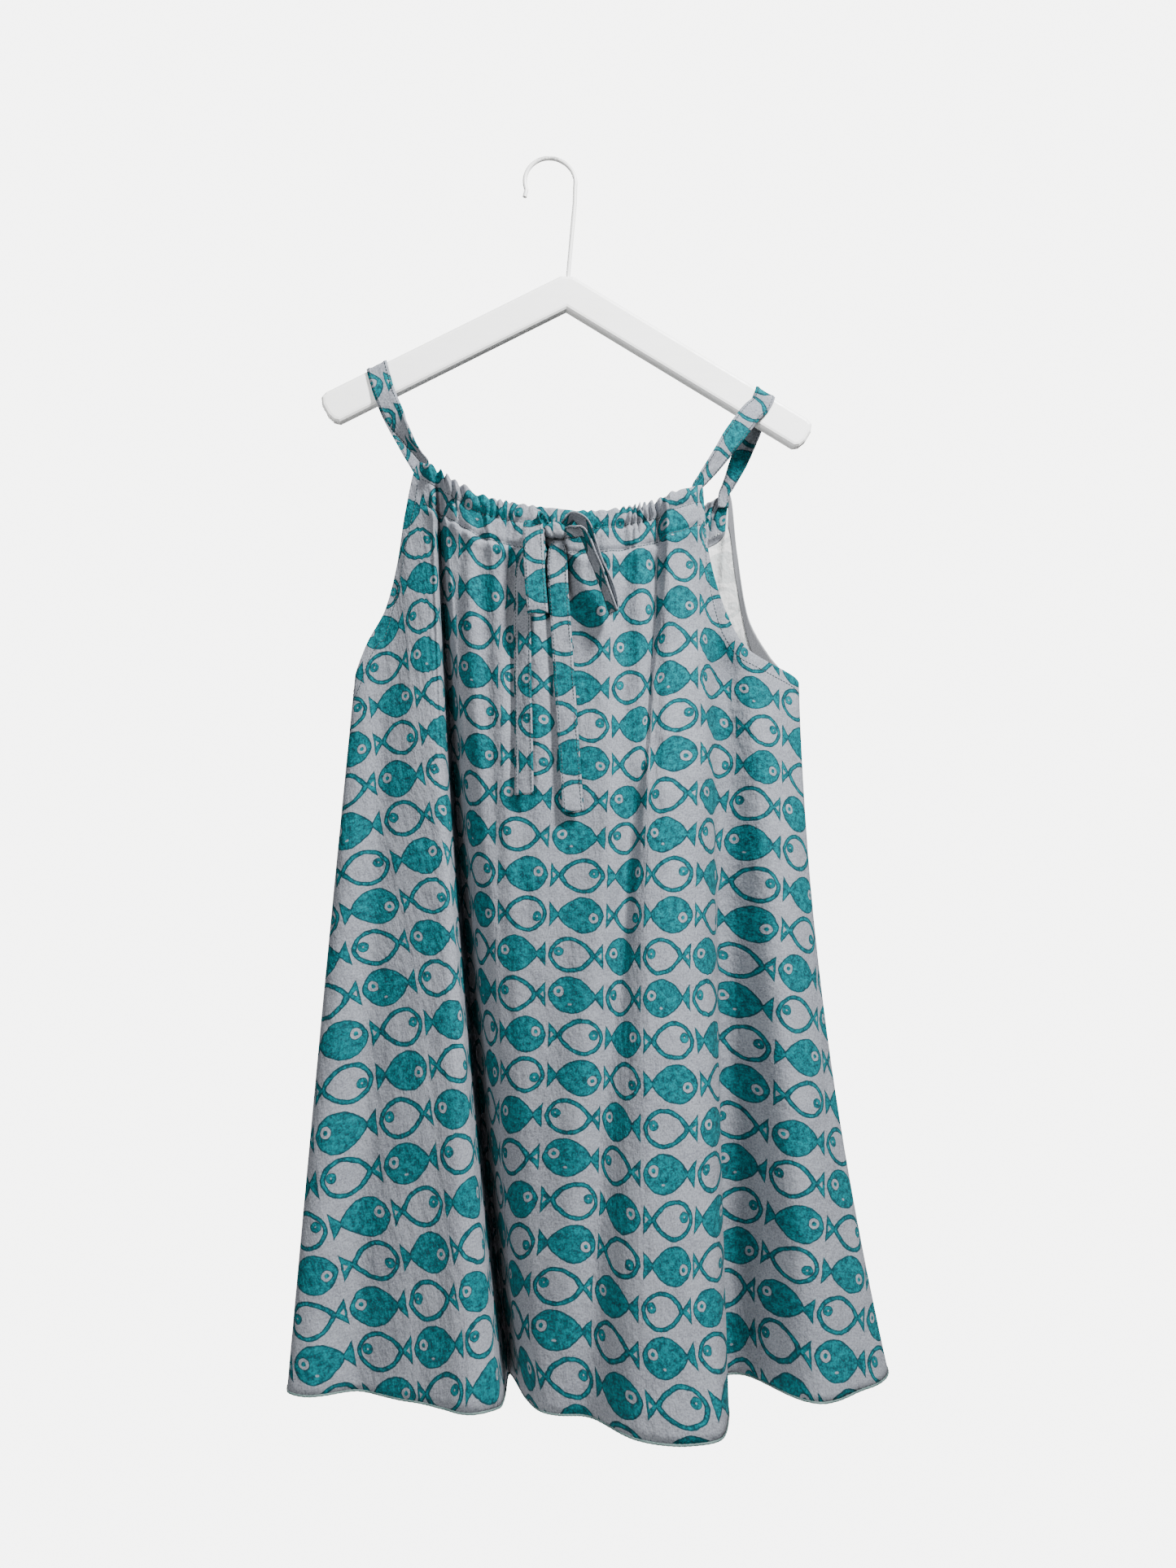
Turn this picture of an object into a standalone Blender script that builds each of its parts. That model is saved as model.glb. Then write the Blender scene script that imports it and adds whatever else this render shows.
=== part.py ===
"""Trapeze dress with a drawstring neck, hanging on a white wooden hanger.

Metres, +Z up. The front of the dress faces -Y and +X is the viewer's right.
The origin is the inner top of the hook's crown, where the hanger hangs.
"""
import bpy
import numpy as np

for old in list(bpy.data.objects):
    bpy.data.objects.remove(old, do_unlink=True)

MM = 0.001
SEAM_GAP = 0.3 * MM            # room between pieces that touch
CLOTH = 1.6 * MM               # wall of a cloth panel
STRAP_CLOTH = 1.6 * MM         # straps and ties, two layers pressed flat
WAIST_Z = -700 * MM
HEM_Z = -1123 * MM

# Front panel, one row for each fold or edge, from the viewer's left to right.
# The top point lies on the armhole or the neck edge, the waist point at
# WAIST_Z and the hem point at HEM_Z. Millimetres.
#    name              top x, y, z              waist x, y        hem x, y
FRONT = (
    ("seam_left",      -176.5, 6.0, -501.0,    -193.9, 10.0,    -227.0, 14.0),
    ("side_left",      -176.5, 3.0, -500.0,    -193.9, 6.5,     -227.0, 9.5),
    ("turn_left",      -175.4, -4.0, -495.5,   -191.6, -4.0,    -225.0, -4.0),
    ("armhole_low_l",  -165.8, -8.5, -469.5,   -178.9, -12.0,   -205.0, -15.0),
    ("armhole_mid_l",  -148.3, -12.5, -436.5,  -158.8, -13.0,   -168.3, -9.5),
    ("armhole_high_l", -137.3, -18.0, -393.0,  -132.9, -22.0,   -116.4, -31.8),
    ("armhole_top_l",  -130.8, -24.0, -351.0,  -111.5, -34.0,   -91.0, -49.0),
    ("corner_left",    -118.5, -29.0, -306.5,  -92.7, -42.0,    -66.2, -58.0),
    ("fold_edge_l",    -108.3, -36.0, -311.5,  -77.4, -37.0,    -41.0, -44.0),
    ("fold_floor_l",   -102.0, -27.0, -315.0,  -74.0, -7.0,     -35.5, 8.0),
    ("fold_wall_l",    -95.0, -40.0, -321.0,   -66.0, -40.0,    -27.0, -36.0),
    ("neck_2",         -58.2, -48.0, -343.0,   -38.6, -55.0,    -9.3, -53.4),
    ("neck_3",         -15.1, -52.0, -351.5,   -4.1, -66.0,     16.0, -73.5),
    ("neck_4",         30.3, -53.0, -355.0,    32.2, -74.0,     44.0, -94.5),
    ("neck_5",         77.1, -50.0, -348.0,    73.2, -80.0,     70.0, -116.5),
    ("crest_mid",      113.5, -43.0, -333.0,   105.5, -82.0,    95.8, -122.7),
    ("corner_right",   137.7, -32.0, -322.0,   130.2, -68.0,    130.0, -106.5),
    ("armhole_top_r",  141.5, -32.5, -370.5,   145.2, -47.0,    149.0, -80.0),
    ("fold_floor_r",   152.7, -30.0, -418.5,   162.6, -22.0,    176.0, -12.5),
    ("crest_right",    180.2, -23.0, -470.5,   197.7, -34.0,    249.7, -51.6),
    ("turn_right",     230.5, -6.0, -496.0,    241.5, -6.0,     305.5, -6.0),
    ("side_right",     234.0, 2.0, -499.5,     244.5, 6.5,      308.6, 9.5),
    ("seam_right",     234.0, 5.0, -500.5,     244.5, 10.0,     308.6, 14.0),
)

# Back panel, the same columns, from left to right.
BACK = (
    ("seam_left",      -176.5, 6.0, -501.0,    -193.9, 10.0,    -227.0, 14.0),
    ("side_left",      -176.5, 9.0, -500.0,    -193.9, 13.5,    -227.0, 18.5),
    ("turn_left",      -175.0, 16.0, -495.0,   -191.6, 24.0,    -225.0, 31.0),
    ("armhole_low_l",  -162.0, 22.0, -466.0,   -172.0, 34.0,    -194.0, 47.0),
    ("armhole_mid_l",  -141.0, 27.0, -425.0,   -143.0, 30.0,    -150.0, 27.0),
    ("armhole_top_l",  -127.0, 30.0, -370.0,   -112.0, 38.0,    -100.0, 52.0),
    ("corner_left",    -113.0, 30.0, -314.0,   -76.0, 33.0,     -52.0, 32.0),
    ("neck_1",         -60.0, 35.0, -336.0,    -34.0, 41.0,     -6.0, 53.0),
    ("neck_2",         0.0, 38.0, -345.0,      8.0, 35.0,       40.0, 30.0),
    ("neck_3",         62.0, 38.0, -344.0,     60.0, 42.0,      92.0, 54.0),
    ("neck_4",         122.0, 35.0, -332.0,    118.0, 36.0,     142.0, 32.0),
    ("corner_right",   175.0, 30.0, -308.5,    162.0, 41.0,     196.0, 53.0),
    ("armhole_top_r",  182.5, 29.5, -366.0,    188.0, 35.0,     240.0, 33.0),
    ("armhole_mid_r",  191.0, 26.0, -427.0,    214.0, 34.0,     272.0, 45.0),
    ("armhole_low_r",  210.5, 19.0, -469.0,    234.0, 29.0,     297.0, 39.0),
    ("turn_right",     231.5, 13.0, -495.0,    242.6, 22.0,     306.5, 30.0),
    ("side_right",     234.0, 8.0, -499.0,     244.5, 13.5,     308.6, 18.5),
    ("seam_right",     234.0, 5.0, -500.5,     244.5, 10.0,     308.6, 14.0),
)

# Gathers on the neck drawstring: how many, how high they stand, how far down
# they reach, and the softer long folds that carry on below them.
FRONT_GATHERS = dict(count=26, height=2.6 * MM, reach=75 * MM,
                     folds=9, fold_height=2.4 * MM, fold_reach=330 * MM)
BACK_GATHERS = dict(count=22, height=2.4 * MM, reach=70 * MM,
                    folds=8, fold_height=2.4 * MM, fold_reach=300 * MM)
CASING_DEPTH = 40 * MM         # neck edge down to the casing's stitch line

FACING_WIDTH = 11 * MM         # bias strip round each armhole, on the inside
FACING_CLOTH = 1.0 * MM

# Straps: a row for each point on the way from the front corner over the
# hanger to the back corner: the middle of the strap, the direction that its
# width runs in, and the width, which the gathered corners pinch. Both ends
# are tucked inside the neck casing. Millimetres.
#     x, y, z                      width direction        width
STRAP_LEFT = (
    (-112.0, -30.3, -319.0,    0.83, -0.55, 0.00,    9.0),
    (-112.8, -29.8, -308.0,    0.83, -0.55, 0.04,    9.5),
    (-117.6, -27.8, -300.5,    0.66, -0.66, 0.12,    12.0),
    (-130.5, -22.0, -281.0,    0.66, -0.58, 0.24,    17.0),
    (-143.5, -15.5, -256.0,    0.80, -0.36, 0.36,    20.0),
    (-153.0, -10.5, -233.0,    0.86, -0.10, 0.45,    20.0),
    (-156.5, -8.4, -221.0,    0.88, 0.00, 0.48,    20.0),
    (-158.8, -7.9, -213.0,    0.88, 0.00, 0.48,    20.0),
    (-159.6, -6.3, -208.6,    0.88, 0.00, 0.48,    20.0),
    (-159.8, -2.8, -207.0,    0.88, 0.00, 0.48,    20.0),
    (-159.8, 2.8, -207.0,    0.88, 0.00, 0.48,    20.0),
    (-159.6, 6.3, -208.6,    0.88, 0.00, 0.48,    20.0),
    (-158.8, 7.9, -213.0,    0.88, 0.00, 0.48,    20.0),
    (-156.5, 8.4, -221.5,    0.88, 0.00, 0.48,    20.0),
    (-149.5, 12.5, -240.0,    0.88, 0.10, 0.42,    20.0),
    (-134.0, 19.5, -271.0,    0.88, 0.28, 0.30,    18.0),
    (-115.0, 26.0, -306.0,    0.96, 0.14, 0.06,    12.0),
    (-107.5, 27.2, -318.0,    0.98, 0.08, 0.00,    11.0),
    (-106.5, 27.2, -330.0,    0.98, 0.08, 0.00,    11.0),
)
STRAP_RIGHT = (
    (131.5, -31.6, -336.0,    0.91, 0.41, 0.00,    9.0),
    (132.5, -31.0, -325.5,    0.91, 0.41, -0.04,    9.5),
    (139.0, -29.2, -315.5,    0.80, 0.55, -0.10,    12.5),
    (151.0, -26.0, -299.0,    0.78, 0.56, -0.16,    17.0),
    (170.5, -19.5, -270.0,    0.84, 0.36, -0.26,    20.0),
    (190.0, -12.0, -243.5,    0.86, 0.10, -0.45,    20.0),
    (199.0, -8.4, -234.0,    0.86, 0.00, -0.51,    20.0),
    (202.2, -7.9, -227.2,    0.86, 0.00, -0.51,    20.0),
    (203.6, -6.3, -222.9,    0.86, 0.00, -0.51,    20.0),
    (204.0, -2.8, -221.0,    0.86, 0.00, -0.51,    20.0),
    (204.0, 2.8, -221.0,    0.86, 0.00, -0.51,    20.0),
    (203.6, 6.3, -222.9,    0.86, 0.00, -0.51,    20.0),
    (202.6, 7.9, -227.2,    0.86, 0.00, -0.51,    20.0),
    (200.5, 8.4, -235.0,    0.86, 0.00, -0.51,    20.0),
    (194.5, 12.5, -250.0,    0.88, -0.10, -0.40,    20.0),
    (184.5, 20.5, -277.0,    0.90, -0.26, -0.24,    18.0),
    (174.0, 26.3, -302.0,    0.97, -0.10, -0.06,    12.0),
    (169.3, 27.7, -312.0,    0.99, -0.05, 0.00,    10.0),
    (168.8, 27.7, -324.0,    0.99, -0.05, 0.00,    10.0),
)

# Bow at the neck: knot, two hanging loops and two tails of one flat tie.
TIE_WIDTH = 18.0
KNOT_CENTRE = (4 * MM, -61.8 * MM, -375.5 * MM)

# Hanger: the lower edge of its two arms, read off the photo.
ARM_HEIGHT = 31 * MM
ARM_THICK = 13 * MM
ARM_ROUND = 4 * MM
APEX = (15.5 * MM, -147.5 * MM)
TIP_LEFT = (-199.0 * MM, -265.5 * MM)
TIP_RIGHT = (236.5 * MM, -277.5 * MM)

HOOK_INNER = 22 * MM
HOOK_WIRE = 2.0 * MM
SHANK_SINK = 12 * MM

COLLECTION = bpy.data.collections.new("trapeze_dress_on_a_hanger")
CUTTERS = bpy.data.collections.new("cutters")
bpy.context.scene.collection.children.link(COLLECTION)
bpy.context.scene.collection.children.link(CUTTERS)


def material(name, colour, rough, metal=0.0):
    made = bpy.data.materials.new(name)
    made.use_nodes = True
    shader = made.node_tree.nodes["Principled BSDF"]
    shader.inputs["Base Color"].default_value = (*colour, 1.0)
    shader.inputs["Roughness"].default_value = rough
    shader.inputs["Metallic"].default_value = metal
    return made


PRINTED = (0.13, 0.33, 0.36)
GREY_BIAS = (0.22, 0.22, 0.21)
WHITE_PAINT = (0.86, 0.86, 0.85)
WHITE_WIRE = (0.84, 0.84, 0.84)


def place(obj, colour, rough, smooth=True, home=COLLECTION):
    obj.data.materials.append(material(obj.name + "_material", colour, rough))
    home.objects.link(obj)
    if smooth and obj.type == 'MESH':
        obj.data.polygons.foreach_set("use_smooth", [True] * len(obj.data.polygons))
    return obj


def solidify(obj, thick, offset=0.0):
    wall = obj.modifiers.new("wall", 'SOLIDIFY')
    wall.thickness = thick
    wall.offset = offset
    wall.use_even_offset = False
    return wall


def monotone(knots, values, at):
    """Smooth curve through rows of values that never overshoots a row."""
    knots, values, at = (np.asarray(a, float) for a in (knots, values, at))
    step = np.diff(knots)[:, None]
    slope = np.diff(values, axis=0) / step
    inner = slope[:-1] * slope[1:]
    w1 = 2 * step[1:] + step[:-1]
    w2 = step[1:] + 2 * step[:-1]
    safe = np.where(inner > 0, inner, 1.0)
    mean = (w1 + w2) * safe / (w1 * np.where(inner > 0, slope[1:], 1.0)
                               + w2 * np.where(inner > 0, slope[:-1], 1.0))
    tangent = np.vstack([slope[:1], np.where(inner > 0, mean, 0.0), slope[-1:]])
    cell = np.clip(np.searchsorted(knots, at, side="right") - 1, 0, len(knots) - 2)
    width = step[cell]
    u = ((at - knots[cell]) / width[:, 0])[:, None]
    return ((1 + 2 * u) * (1 - u) ** 2 * values[cell]
            + u * (1 - u) ** 2 * width * tangent[cell]
            + u * u * (3 - 2 * u) * values[cell + 1]
            + u * u * (u - 1) * width * tangent[cell + 1])


def soft_step(x):
    x = np.clip(x, 0.0, 1.0)
    return x * x * (3 - 2 * x)


class Panel:
    """A hanging panel: its top edge, waist section and hem section."""

    def __init__(self, rows, gathers, seam_shift):
        names = [row[0] for row in rows]
        table = np.array([row[1:] for row in rows]) * MM
        self.top, self.waist, self.hem = table[:, 0:3], table[:, 3:5], table[:, 5:7]
        for end in (0, -1):
            for edge in (self.top, self.waist, self.hem):
                edge[end, 1] += seam_shift
        steps = sum(np.linalg.norm(np.diff(edge, axis=0), axis=1)
                    for edge in (self.top, self.waist, self.hem))
        self.share = np.concatenate([[0.0], np.cumsum(steps)]) / steps.sum()
        self.neck = (self.share[names.index("corner_left")],
                     self.share[names.index("corner_right")])
        self.gathers = gathers
        self.side = np.sign(seam_shift)

    def plain(self, share, drop):
        """Points without gathers; drop runs 0 at the top edge to 1 at the hem."""
        top = monotone(self.share, self.top, share)
        waist = monotone(self.share, self.waist, share)
        hem = monotone(self.share, self.hem, share)
        z = top[:, 2] + (HEM_Z - top[:, 2]) * drop
        reach = (z - top[:, 2]) / (HEM_Z - top[:, 2])
        knee = (WAIST_Z - top[:, 2]) / (HEM_Z - top[:, 2])
        first, last = (waist - top[:, :2]) / knee[:, None], (hem - waist) / (1 - knee)[:, None]
        middle = first * (1 - knee)[:, None] + last * knee[:, None]
        out = np.empty((len(share), 3))
        for low, high, base, end, t0, t1 in (
                (0, 1, top[:, :2], waist, 2 * first - middle, middle),
                (1, 2, waist, hem, middle, 2 * last - middle)):
            start = np.zeros_like(knee) if low == 0 else knee
            width = knee if low == 0 else 1 - knee
            u = np.clip((reach - start) / width, 0, 1)[:, None]
            w = width[:, None]
            value = ((1 + 2 * u) * (1 - u) ** 2 * base + u * (1 - u) ** 2 * w * t0
                     + u * u * (3 - 2 * u) * end + u * u * (u - 1) * w * t1)
            mine = (reach <= knee) if low == 0 else (reach > knee)
            out[mine, :2] = value[mine]
        out[:, 2] = z
        return out

    def points(self, share, drop):
        """Points with the gathers of the neck laid on them."""
        share, drop = np.asarray(share, float), np.asarray(drop, float)
        base = self.plain(share, drop)
        top = monotone(self.share, self.top, share)
        down = top[:, 2] - base[:, 2]
        left, right = self.neck
        along = (share - left) / (right - left)
        window = soft_step(along / 0.06) * soft_step((1 - along) / 0.06)
        g = self.gathers
        sway = 0.16 * np.sin(2 * np.pi * 2.3 * along + 0.7)
        fine = np.sin(2 * np.pi * (g["count"] * along + sway))
        uneven = 0.75 + 0.25 * np.sin(2 * np.pi * 3.7 * along + 1.1)
        coarse = np.sin(2 * np.pi * (g["folds"] * along + 2 * sway) + 0.9)
        fine_fall = np.exp(-(down / g["reach"]) ** 2)
        coarse_fall = soft_step(down / (60 * MM)) * np.exp(-(down / g["fold_reach"]) ** 2)
        lift = window * (g["height"] * fine * uneven * fine_fall
                         + g["fold_height"] * coarse * coarse_fall)
        base[:, 1] += self.side * lift
        return base


front = Panel(FRONT, FRONT_GATHERS, -SEAM_GAP)
back = Panel(BACK, BACK_GATHERS, SEAM_GAP)


def sheet(name, panel, columns, casing_rows, rows, outward):
    """Panel mesh: twice as many columns in the gathered casing band."""
    fine = np.linspace(0, 1, 2 * columns + 1)
    coarse = fine[::2]
    span = monotone(panel.share, panel.top, fine)[:, 2] - HEM_Z
    lines, counts = [], []
    for i in range(casing_rows + 1):
        lines.append(panel.points(fine, CASING_DEPTH / span * i / casing_rows))
        counts.append(len(fine))
    start = CASING_DEPTH / span[::2]
    for i in range(1, rows + 1):
        part = (i / rows) ** 1.15
        lines.append(panel.points(coarse, start + (1 - start) * part))
        counts.append(len(coarse))
    first = np.concatenate([[0], np.cumsum(counts)])
    faces = []
    for r in range(len(lines) - 1):
        a, b = first[r], first[r + 1]
        if counts[r] == counts[r + 1]:
            for c in range(counts[r] - 1):
                faces.append((a + c, b + c, b + c + 1, a + c + 1))
        else:
            for c in range(counts[r + 1] - 1):
                faces.append((a + 2 * c, b + c, a + 2 * c + 1))
                faces.append((a + 2 * c + 1, b + c, b + c + 1))
                faces.append((a + 2 * c + 1, b + c + 1, a + 2 * c + 2))
    if not outward:
        faces = [face[::-1] for face in faces]
    mesh = bpy.data.meshes.new(name)
    mesh.from_pydata([tuple(p) for p in np.vstack(lines)], [], faces)
    obj = place(bpy.data.objects.new(name, mesh), PRINTED, 0.85)
    solidify(obj, CLOTH)
    return obj


sheet("front_panel", front, 64, 4, 15, True)
sheet("back_panel", back, 44, 4, 12, False)


def grid(name, lines, colour, thick, rough=0.85, offset=0.0):
    """Open surface through equal lines of points, given a wall."""
    lines = [np.asarray(line) for line in lines]
    n = len(lines[0])
    faces = [(r * n + c, (r + 1) * n + c, (r + 1) * n + c + 1, r * n + c + 1)
             for r in range(len(lines) - 1) for c in range(n - 1)]
    mesh = bpy.data.meshes.new(name)
    mesh.from_pydata([tuple(p) for p in np.vstack(lines)], [], faces)
    obj = place(bpy.data.objects.new(name, mesh), colour, rough)
    solidify(obj, thick, offset)
    return obj


def facing_line(panel, shares, depth, inset):
    """Points a set depth in from the armhole edge, moved inside the panel."""
    eps = 1e-3
    span = monotone(panel.share, panel.top, shares)[:, 2] - HEM_Z
    edge = panel.points(shares, np.zeros_like(shares))
    ahead = panel.points(np.clip(shares + eps, 0, 1), np.zeros_like(shares))
    behind = panel.points(np.clip(shares - eps, 0, 1), np.zeros_like(shares))
    run = ahead - behind
    run /= np.linalg.norm(run, axis=1)[:, None]
    low = panel.points(shares, 8 * MM / span)
    fall = low - edge
    fall /= np.linalg.norm(fall, axis=1)[:, None]
    normal = np.cross(run, fall)
    normal /= np.linalg.norm(normal, axis=1)[:, None]
    into = np.cross(normal, run)
    lean = np.abs((fall * into).sum(axis=1))
    drop = depth / np.maximum(lean, 0.35)
    body = panel.points(shares, drop / span)
    inward = normal * np.where((normal[:, 1] * -panel.side) > 0, 1.0, -1.0)[:, None]
    return body + inward * inset


def facing(name, side):
    """Bias strip inside an armhole, front corner to back corner."""
    inset = 0.5 * CLOTH + SEAM_GAP + 0.5 * FACING_CLOTH + 0.2 * MM
    f0, f1 = (0.0, front.neck[0]) if side < 0 else (1.0, front.neck[1])
    b0, b1 = (0.0, back.neck[0]) if side < 0 else (1.0, back.neck[1])
    count = 13
    for part, panel, seam, corner in (("front", front, f0, f1), ("back", back, b0, b1)):
        shares = seam + (corner - seam) * np.linspace(0.30, 0.90, count)
        lines = [facing_line(panel, shares, d, inset)
                 for d in np.array([0.8, 6.0, FACING_WIDTH / MM]) * MM]
        grid(f"{name}_{part}", np.stack(lines, axis=1), GREY_BIAS, FACING_CLOTH)


facing("armhole_facing_left", -1)
facing("armhole_facing_right", 1)


def ribbon(name, rows, count, across=2, thick=STRAP_CLOTH, colour=PRINTED):
    """Flat strip through rows of a middle point, width direction and width."""
    rows = np.array([row if len(row) > 6 else (*row, TIE_WIDTH) for row in rows])
    middle, wide = rows[:, :3] * MM, rows[:, 3:6]
    steps = np.linalg.norm(np.diff(middle, axis=0), axis=1)
    knots = np.concatenate([[0.0], np.cumsum(steps)])
    at = np.interp(np.linspace(0, len(knots) - 1, count), np.arange(len(knots)), knots)
    mid, dirs = monotone(knots, middle, at), monotone(knots, wide, at)
    width = monotone(knots, rows[:, 6:7] * MM, at)
    tangent = np.gradient(mid, axis=0)
    tangent /= np.linalg.norm(tangent, axis=1)[:, None]
    dirs -= tangent * (dirs * tangent).sum(axis=1)[:, None]
    dirs /= np.linalg.norm(dirs, axis=1)[:, None]
    lines = [mid + dirs * width * (k / across - 0.5) for k in range(across + 1)]
    return grid(name, np.stack(lines, axis=1), colour, thick)


ribbon("strap_left", STRAP_LEFT, 46)
ribbon("strap_right", STRAP_RIGHT, 46)

# The tie: tails hang straight down the front, loops hang over the tails.
TAIL_LEFT = (
    (-6.0, -59.6, -389.0,    0.95, -0.10, -0.35,    8.0),
    (-13.5, -59.0, -392.5,    0.90, -0.10, -0.40,    14.0),
    (-22.0, -59.0, -400.0,    0.98, -0.05, -0.10,    18.0),
    (-25.0, -59.5, -430.0,    1.00, -0.06, 0.00,    18.0),
    (-24.5, -61.5, -500.0,    1.00, -0.12, 0.00,    18.0),
    (-24.0, -64.0, -560.0,    1.00, -0.14, 0.00,    18.0),
    (-24.0, -65.5, -608.0,    1.00, -0.14, 0.00,    18.0),
)
TAIL_RIGHT = (
    (5.5, -60.6, -384.6,    1.00, -0.12, 0.10,    9.0),
    (4.5, -61.2, -394.0,    1.00, -0.14, 0.06,    16.0),
    (4.5, -62.3, -408.0,    1.00, -0.14, 0.05,    18.0),
    (8.0, -66.0, -470.0,    0.97, -0.22, 0.05,    18.0),
    (12.5, -69.5, -540.0,    0.98, -0.18, 0.05,    18.0),
    (18.0, -74.0, -623.0,    0.98, -0.16, 0.05,    18.0),
)
LOOP_LEFT = (
    (-6.0, -63.5, -373.0,    0.10, -0.25, 1.00,    9.0),
    (-12.5, -67.5, -366.5,    0.60, -0.30, 0.80,    13.0),
    (-17.3, -70.2, -372.5,    1.00, -0.20, 0.25,    17.0),
    (-16.5, -73.5, -400.0,    1.00, -0.14, 0.00,    18.0),
    (-13.5, -77.0, -446.0,    1.00, -0.12, 0.00,    18.0),
    (-12.8, -76.0, -452.5,    1.00, -0.12, 0.00,    18.0),
    (-13.2, -73.5, -446.0,    1.00, -0.12, 0.00,    18.0),
    (-15.5, -69.5, -412.0,    1.00, -0.12, 0.00,    18.0),
    (-13.5, -66.5, -390.0,    0.90, -0.15, 0.20,    15.0),
    (-6.0, -63.0, -377.5,    0.20, -0.20, 1.00,    9.0),
)
LOOP_RIGHT = (
    (13.0, -63.5, -372.5,    -0.10, -0.40, 1.00,    9.0),
    (20.5, -68.0, -368.5,    0.30, -0.80, 0.50,    13.0),
    (26.5, -71.5, -377.0,    0.58, -0.80, 0.16,    17.0),
    (38.5, -75.5, -413.0,    0.62, -0.78, 0.10,    18.0),
    (49.5, -79.5, -446.0,    0.64, -0.76, 0.10,    18.0),
    (48.0, -78.2, -450.0,    0.64, -0.76, 0.10,    18.0),
    (44.5, -76.3, -444.0,    0.64, -0.76, 0.10,    18.0),
    (33.0, -73.0, -412.0,    0.62, -0.78, 0.10,    18.0),
    (22.5, -68.0, -388.0,    0.40, -0.80, 0.30,    15.0),
    (13.0, -62.6, -378.5,    -0.10, -0.50, 1.00,    9.0),
)

ribbon("tie_tail_left", TAIL_LEFT, 21)
ribbon("tie_tail_right", TAIL_RIGHT, 21)
ribbon("tie_loop_left", LOOP_LEFT, 31)
ribbon("tie_loop_right", LOOP_RIGHT, 31)


def knot():
    """Knot of the bow: a small rounded block with its corners softened."""
    mesh = bpy.data.meshes.new("tie_knot")
    cube = ((-1, -1, -1), (1, -1, -1), (1, 1, -1), (-1, 1, -1),
            (-1, -1, 1), (1, -1, 1), (1, 1, 1), (-1, 1, 1))
    half = np.array((11.0, 6.0, 8.5)) * MM
    mesh.from_pydata([tuple(np.array(KNOT_CENTRE) + half * c) for c in cube], [],
                     [(0, 3, 2, 1), (4, 5, 6, 7), (0, 1, 5, 4),
                      (1, 2, 6, 5), (2, 3, 7, 6), (3, 0, 4, 7)])
    obj = place(bpy.data.objects.new("tie_knot", mesh), PRINTED, 0.85)
    soft = obj.modifiers.new("soft", 'SUBSURF')
    soft.levels = soft.render_levels = 2
    return obj


knot()


def hanger_body():
    """Flat V of painted wood, rounded along its edges, with a hole for the hook."""
    apex, left, right = (np.array(p) for p in (APEX, TIP_LEFT, TIP_RIGHT))

    def arm(tip):
        along = (tip - apex) / np.linalg.norm(tip - apex)
        normal = np.array((-along[1], along[0]))
        return along, normal if normal[1] > 0 else -normal

    outline = []
    for tip, order in ((left, 1), (right, -1)):
        along, normal = arm(tip)
        end = [tip + normal * ARM_HEIGHT * h - along * b * MM
               for h, b in ((0.0, 7.0), (0.12, 2.5), (0.35, 0.0), (0.70, 0.0),
                            (0.93, 3.0), (1.0, 9.0))]
        outline.append(end[::order])
    along_l, normal_l = arm(left)
    along_r, normal_r = arm(right)
    base_l, base_r = apex + normal_l * ARM_HEIGHT, apex + normal_r * ARM_HEIGHT
    k = np.linalg.solve(np.column_stack([along_l, -along_r]), base_r - base_l)[0]
    crown = base_l + along_l * k
    flat = 7 * MM
    ring = [apex] + outline[0] + [crown + along_l * flat, crown + along_r * flat] + outline[1]
    mesh = bpy.data.meshes.new("hanger_body")
    mesh.from_pydata([(x, 0.0, z) for x, z in ring], [], [tuple(range(len(ring)))])
    obj = place(bpy.data.objects.new("hanger_body", mesh), WHITE_PAINT, 0.45)
    solidify(obj, ARM_THICK)
    round_off = obj.modifiers.new("round_off", 'BEVEL')
    round_off.width = ARM_ROUND
    round_off.segments = 3
    round_off.limit_method = 'ANGLE'
    round_off.angle_limit = np.radians(60)
    return obj, crown


def bore(obj, foot, lead):
    """Blind hole for the hook's shank, a gap wider than the wire all round."""
    reach = SHANK_SINK + 20 * MM
    lean = np.arctan2(lead[0] - foot[0], lead[1] - foot[1])
    bpy.ops.mesh.primitive_cylinder_add(vertices=24, radius=HOOK_WIRE + SEAM_GAP, depth=reach)
    tool = bpy.context.object
    tool.name = "hook_hole_cutter"
    for home in tool.users_collection:
        home.objects.unlink(tool)
    CUTTERS.objects.link(tool)
    tool.hide_render = True
    tool.display_type = 'WIRE'
    way = np.array((np.sin(lean), np.cos(lean)))
    middle = np.array(foot) + way * (0.5 * reach - SEAM_GAP)
    tool.location = (middle[0], 0.0, middle[1])
    tool.rotation_euler = (0.0, lean, 0.0)
    cut = obj.modifiers.new("hook_hole", 'BOOLEAN')
    cut.operation, cut.solver, cut.object = 'DIFFERENCE', 'EXACT', tool


body, crown = hanger_body()
CROWN_TOP = float(crown[1])


def hook():
    """Cane hook: a tip, the crown round the origin and a straight shank."""
    radius = HOOK_INNER + HOOK_WIRE
    angles = np.radians(np.linspace(200, -8, 27))
    arc = [(radius * np.cos(a), radius * np.sin(a) - HOOK_INNER) for a in angles]
    foot = (16.2 * MM, CROWN_TOP - SHANK_SINK)
    lead = (arc[-1][0] - 0.4 * MM, arc[-1][1] - 16 * MM)
    path = [(arc[0][0] - 1.5 * MM, arc[0][1] - 7 * MM)] + arc + [lead, foot]
    curve = bpy.data.curves.new("hanger_hook", 'CURVE')
    curve.dimensions = '3D'
    curve.bevel_depth = HOOK_WIRE
    curve.bevel_resolution = 2
    curve.use_fill_caps = True
    line = curve.splines.new('POLY')
    line.points.add(len(path) - 1)
    for point, (x, z) in zip(line.points, path):
        point.co = (x, 0.0, z, 1.0)
    obj = bpy.data.objects.new("hanger_hook", curve)
    place(obj, WHITE_WIRE, 0.3)
    return foot, lead


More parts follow.
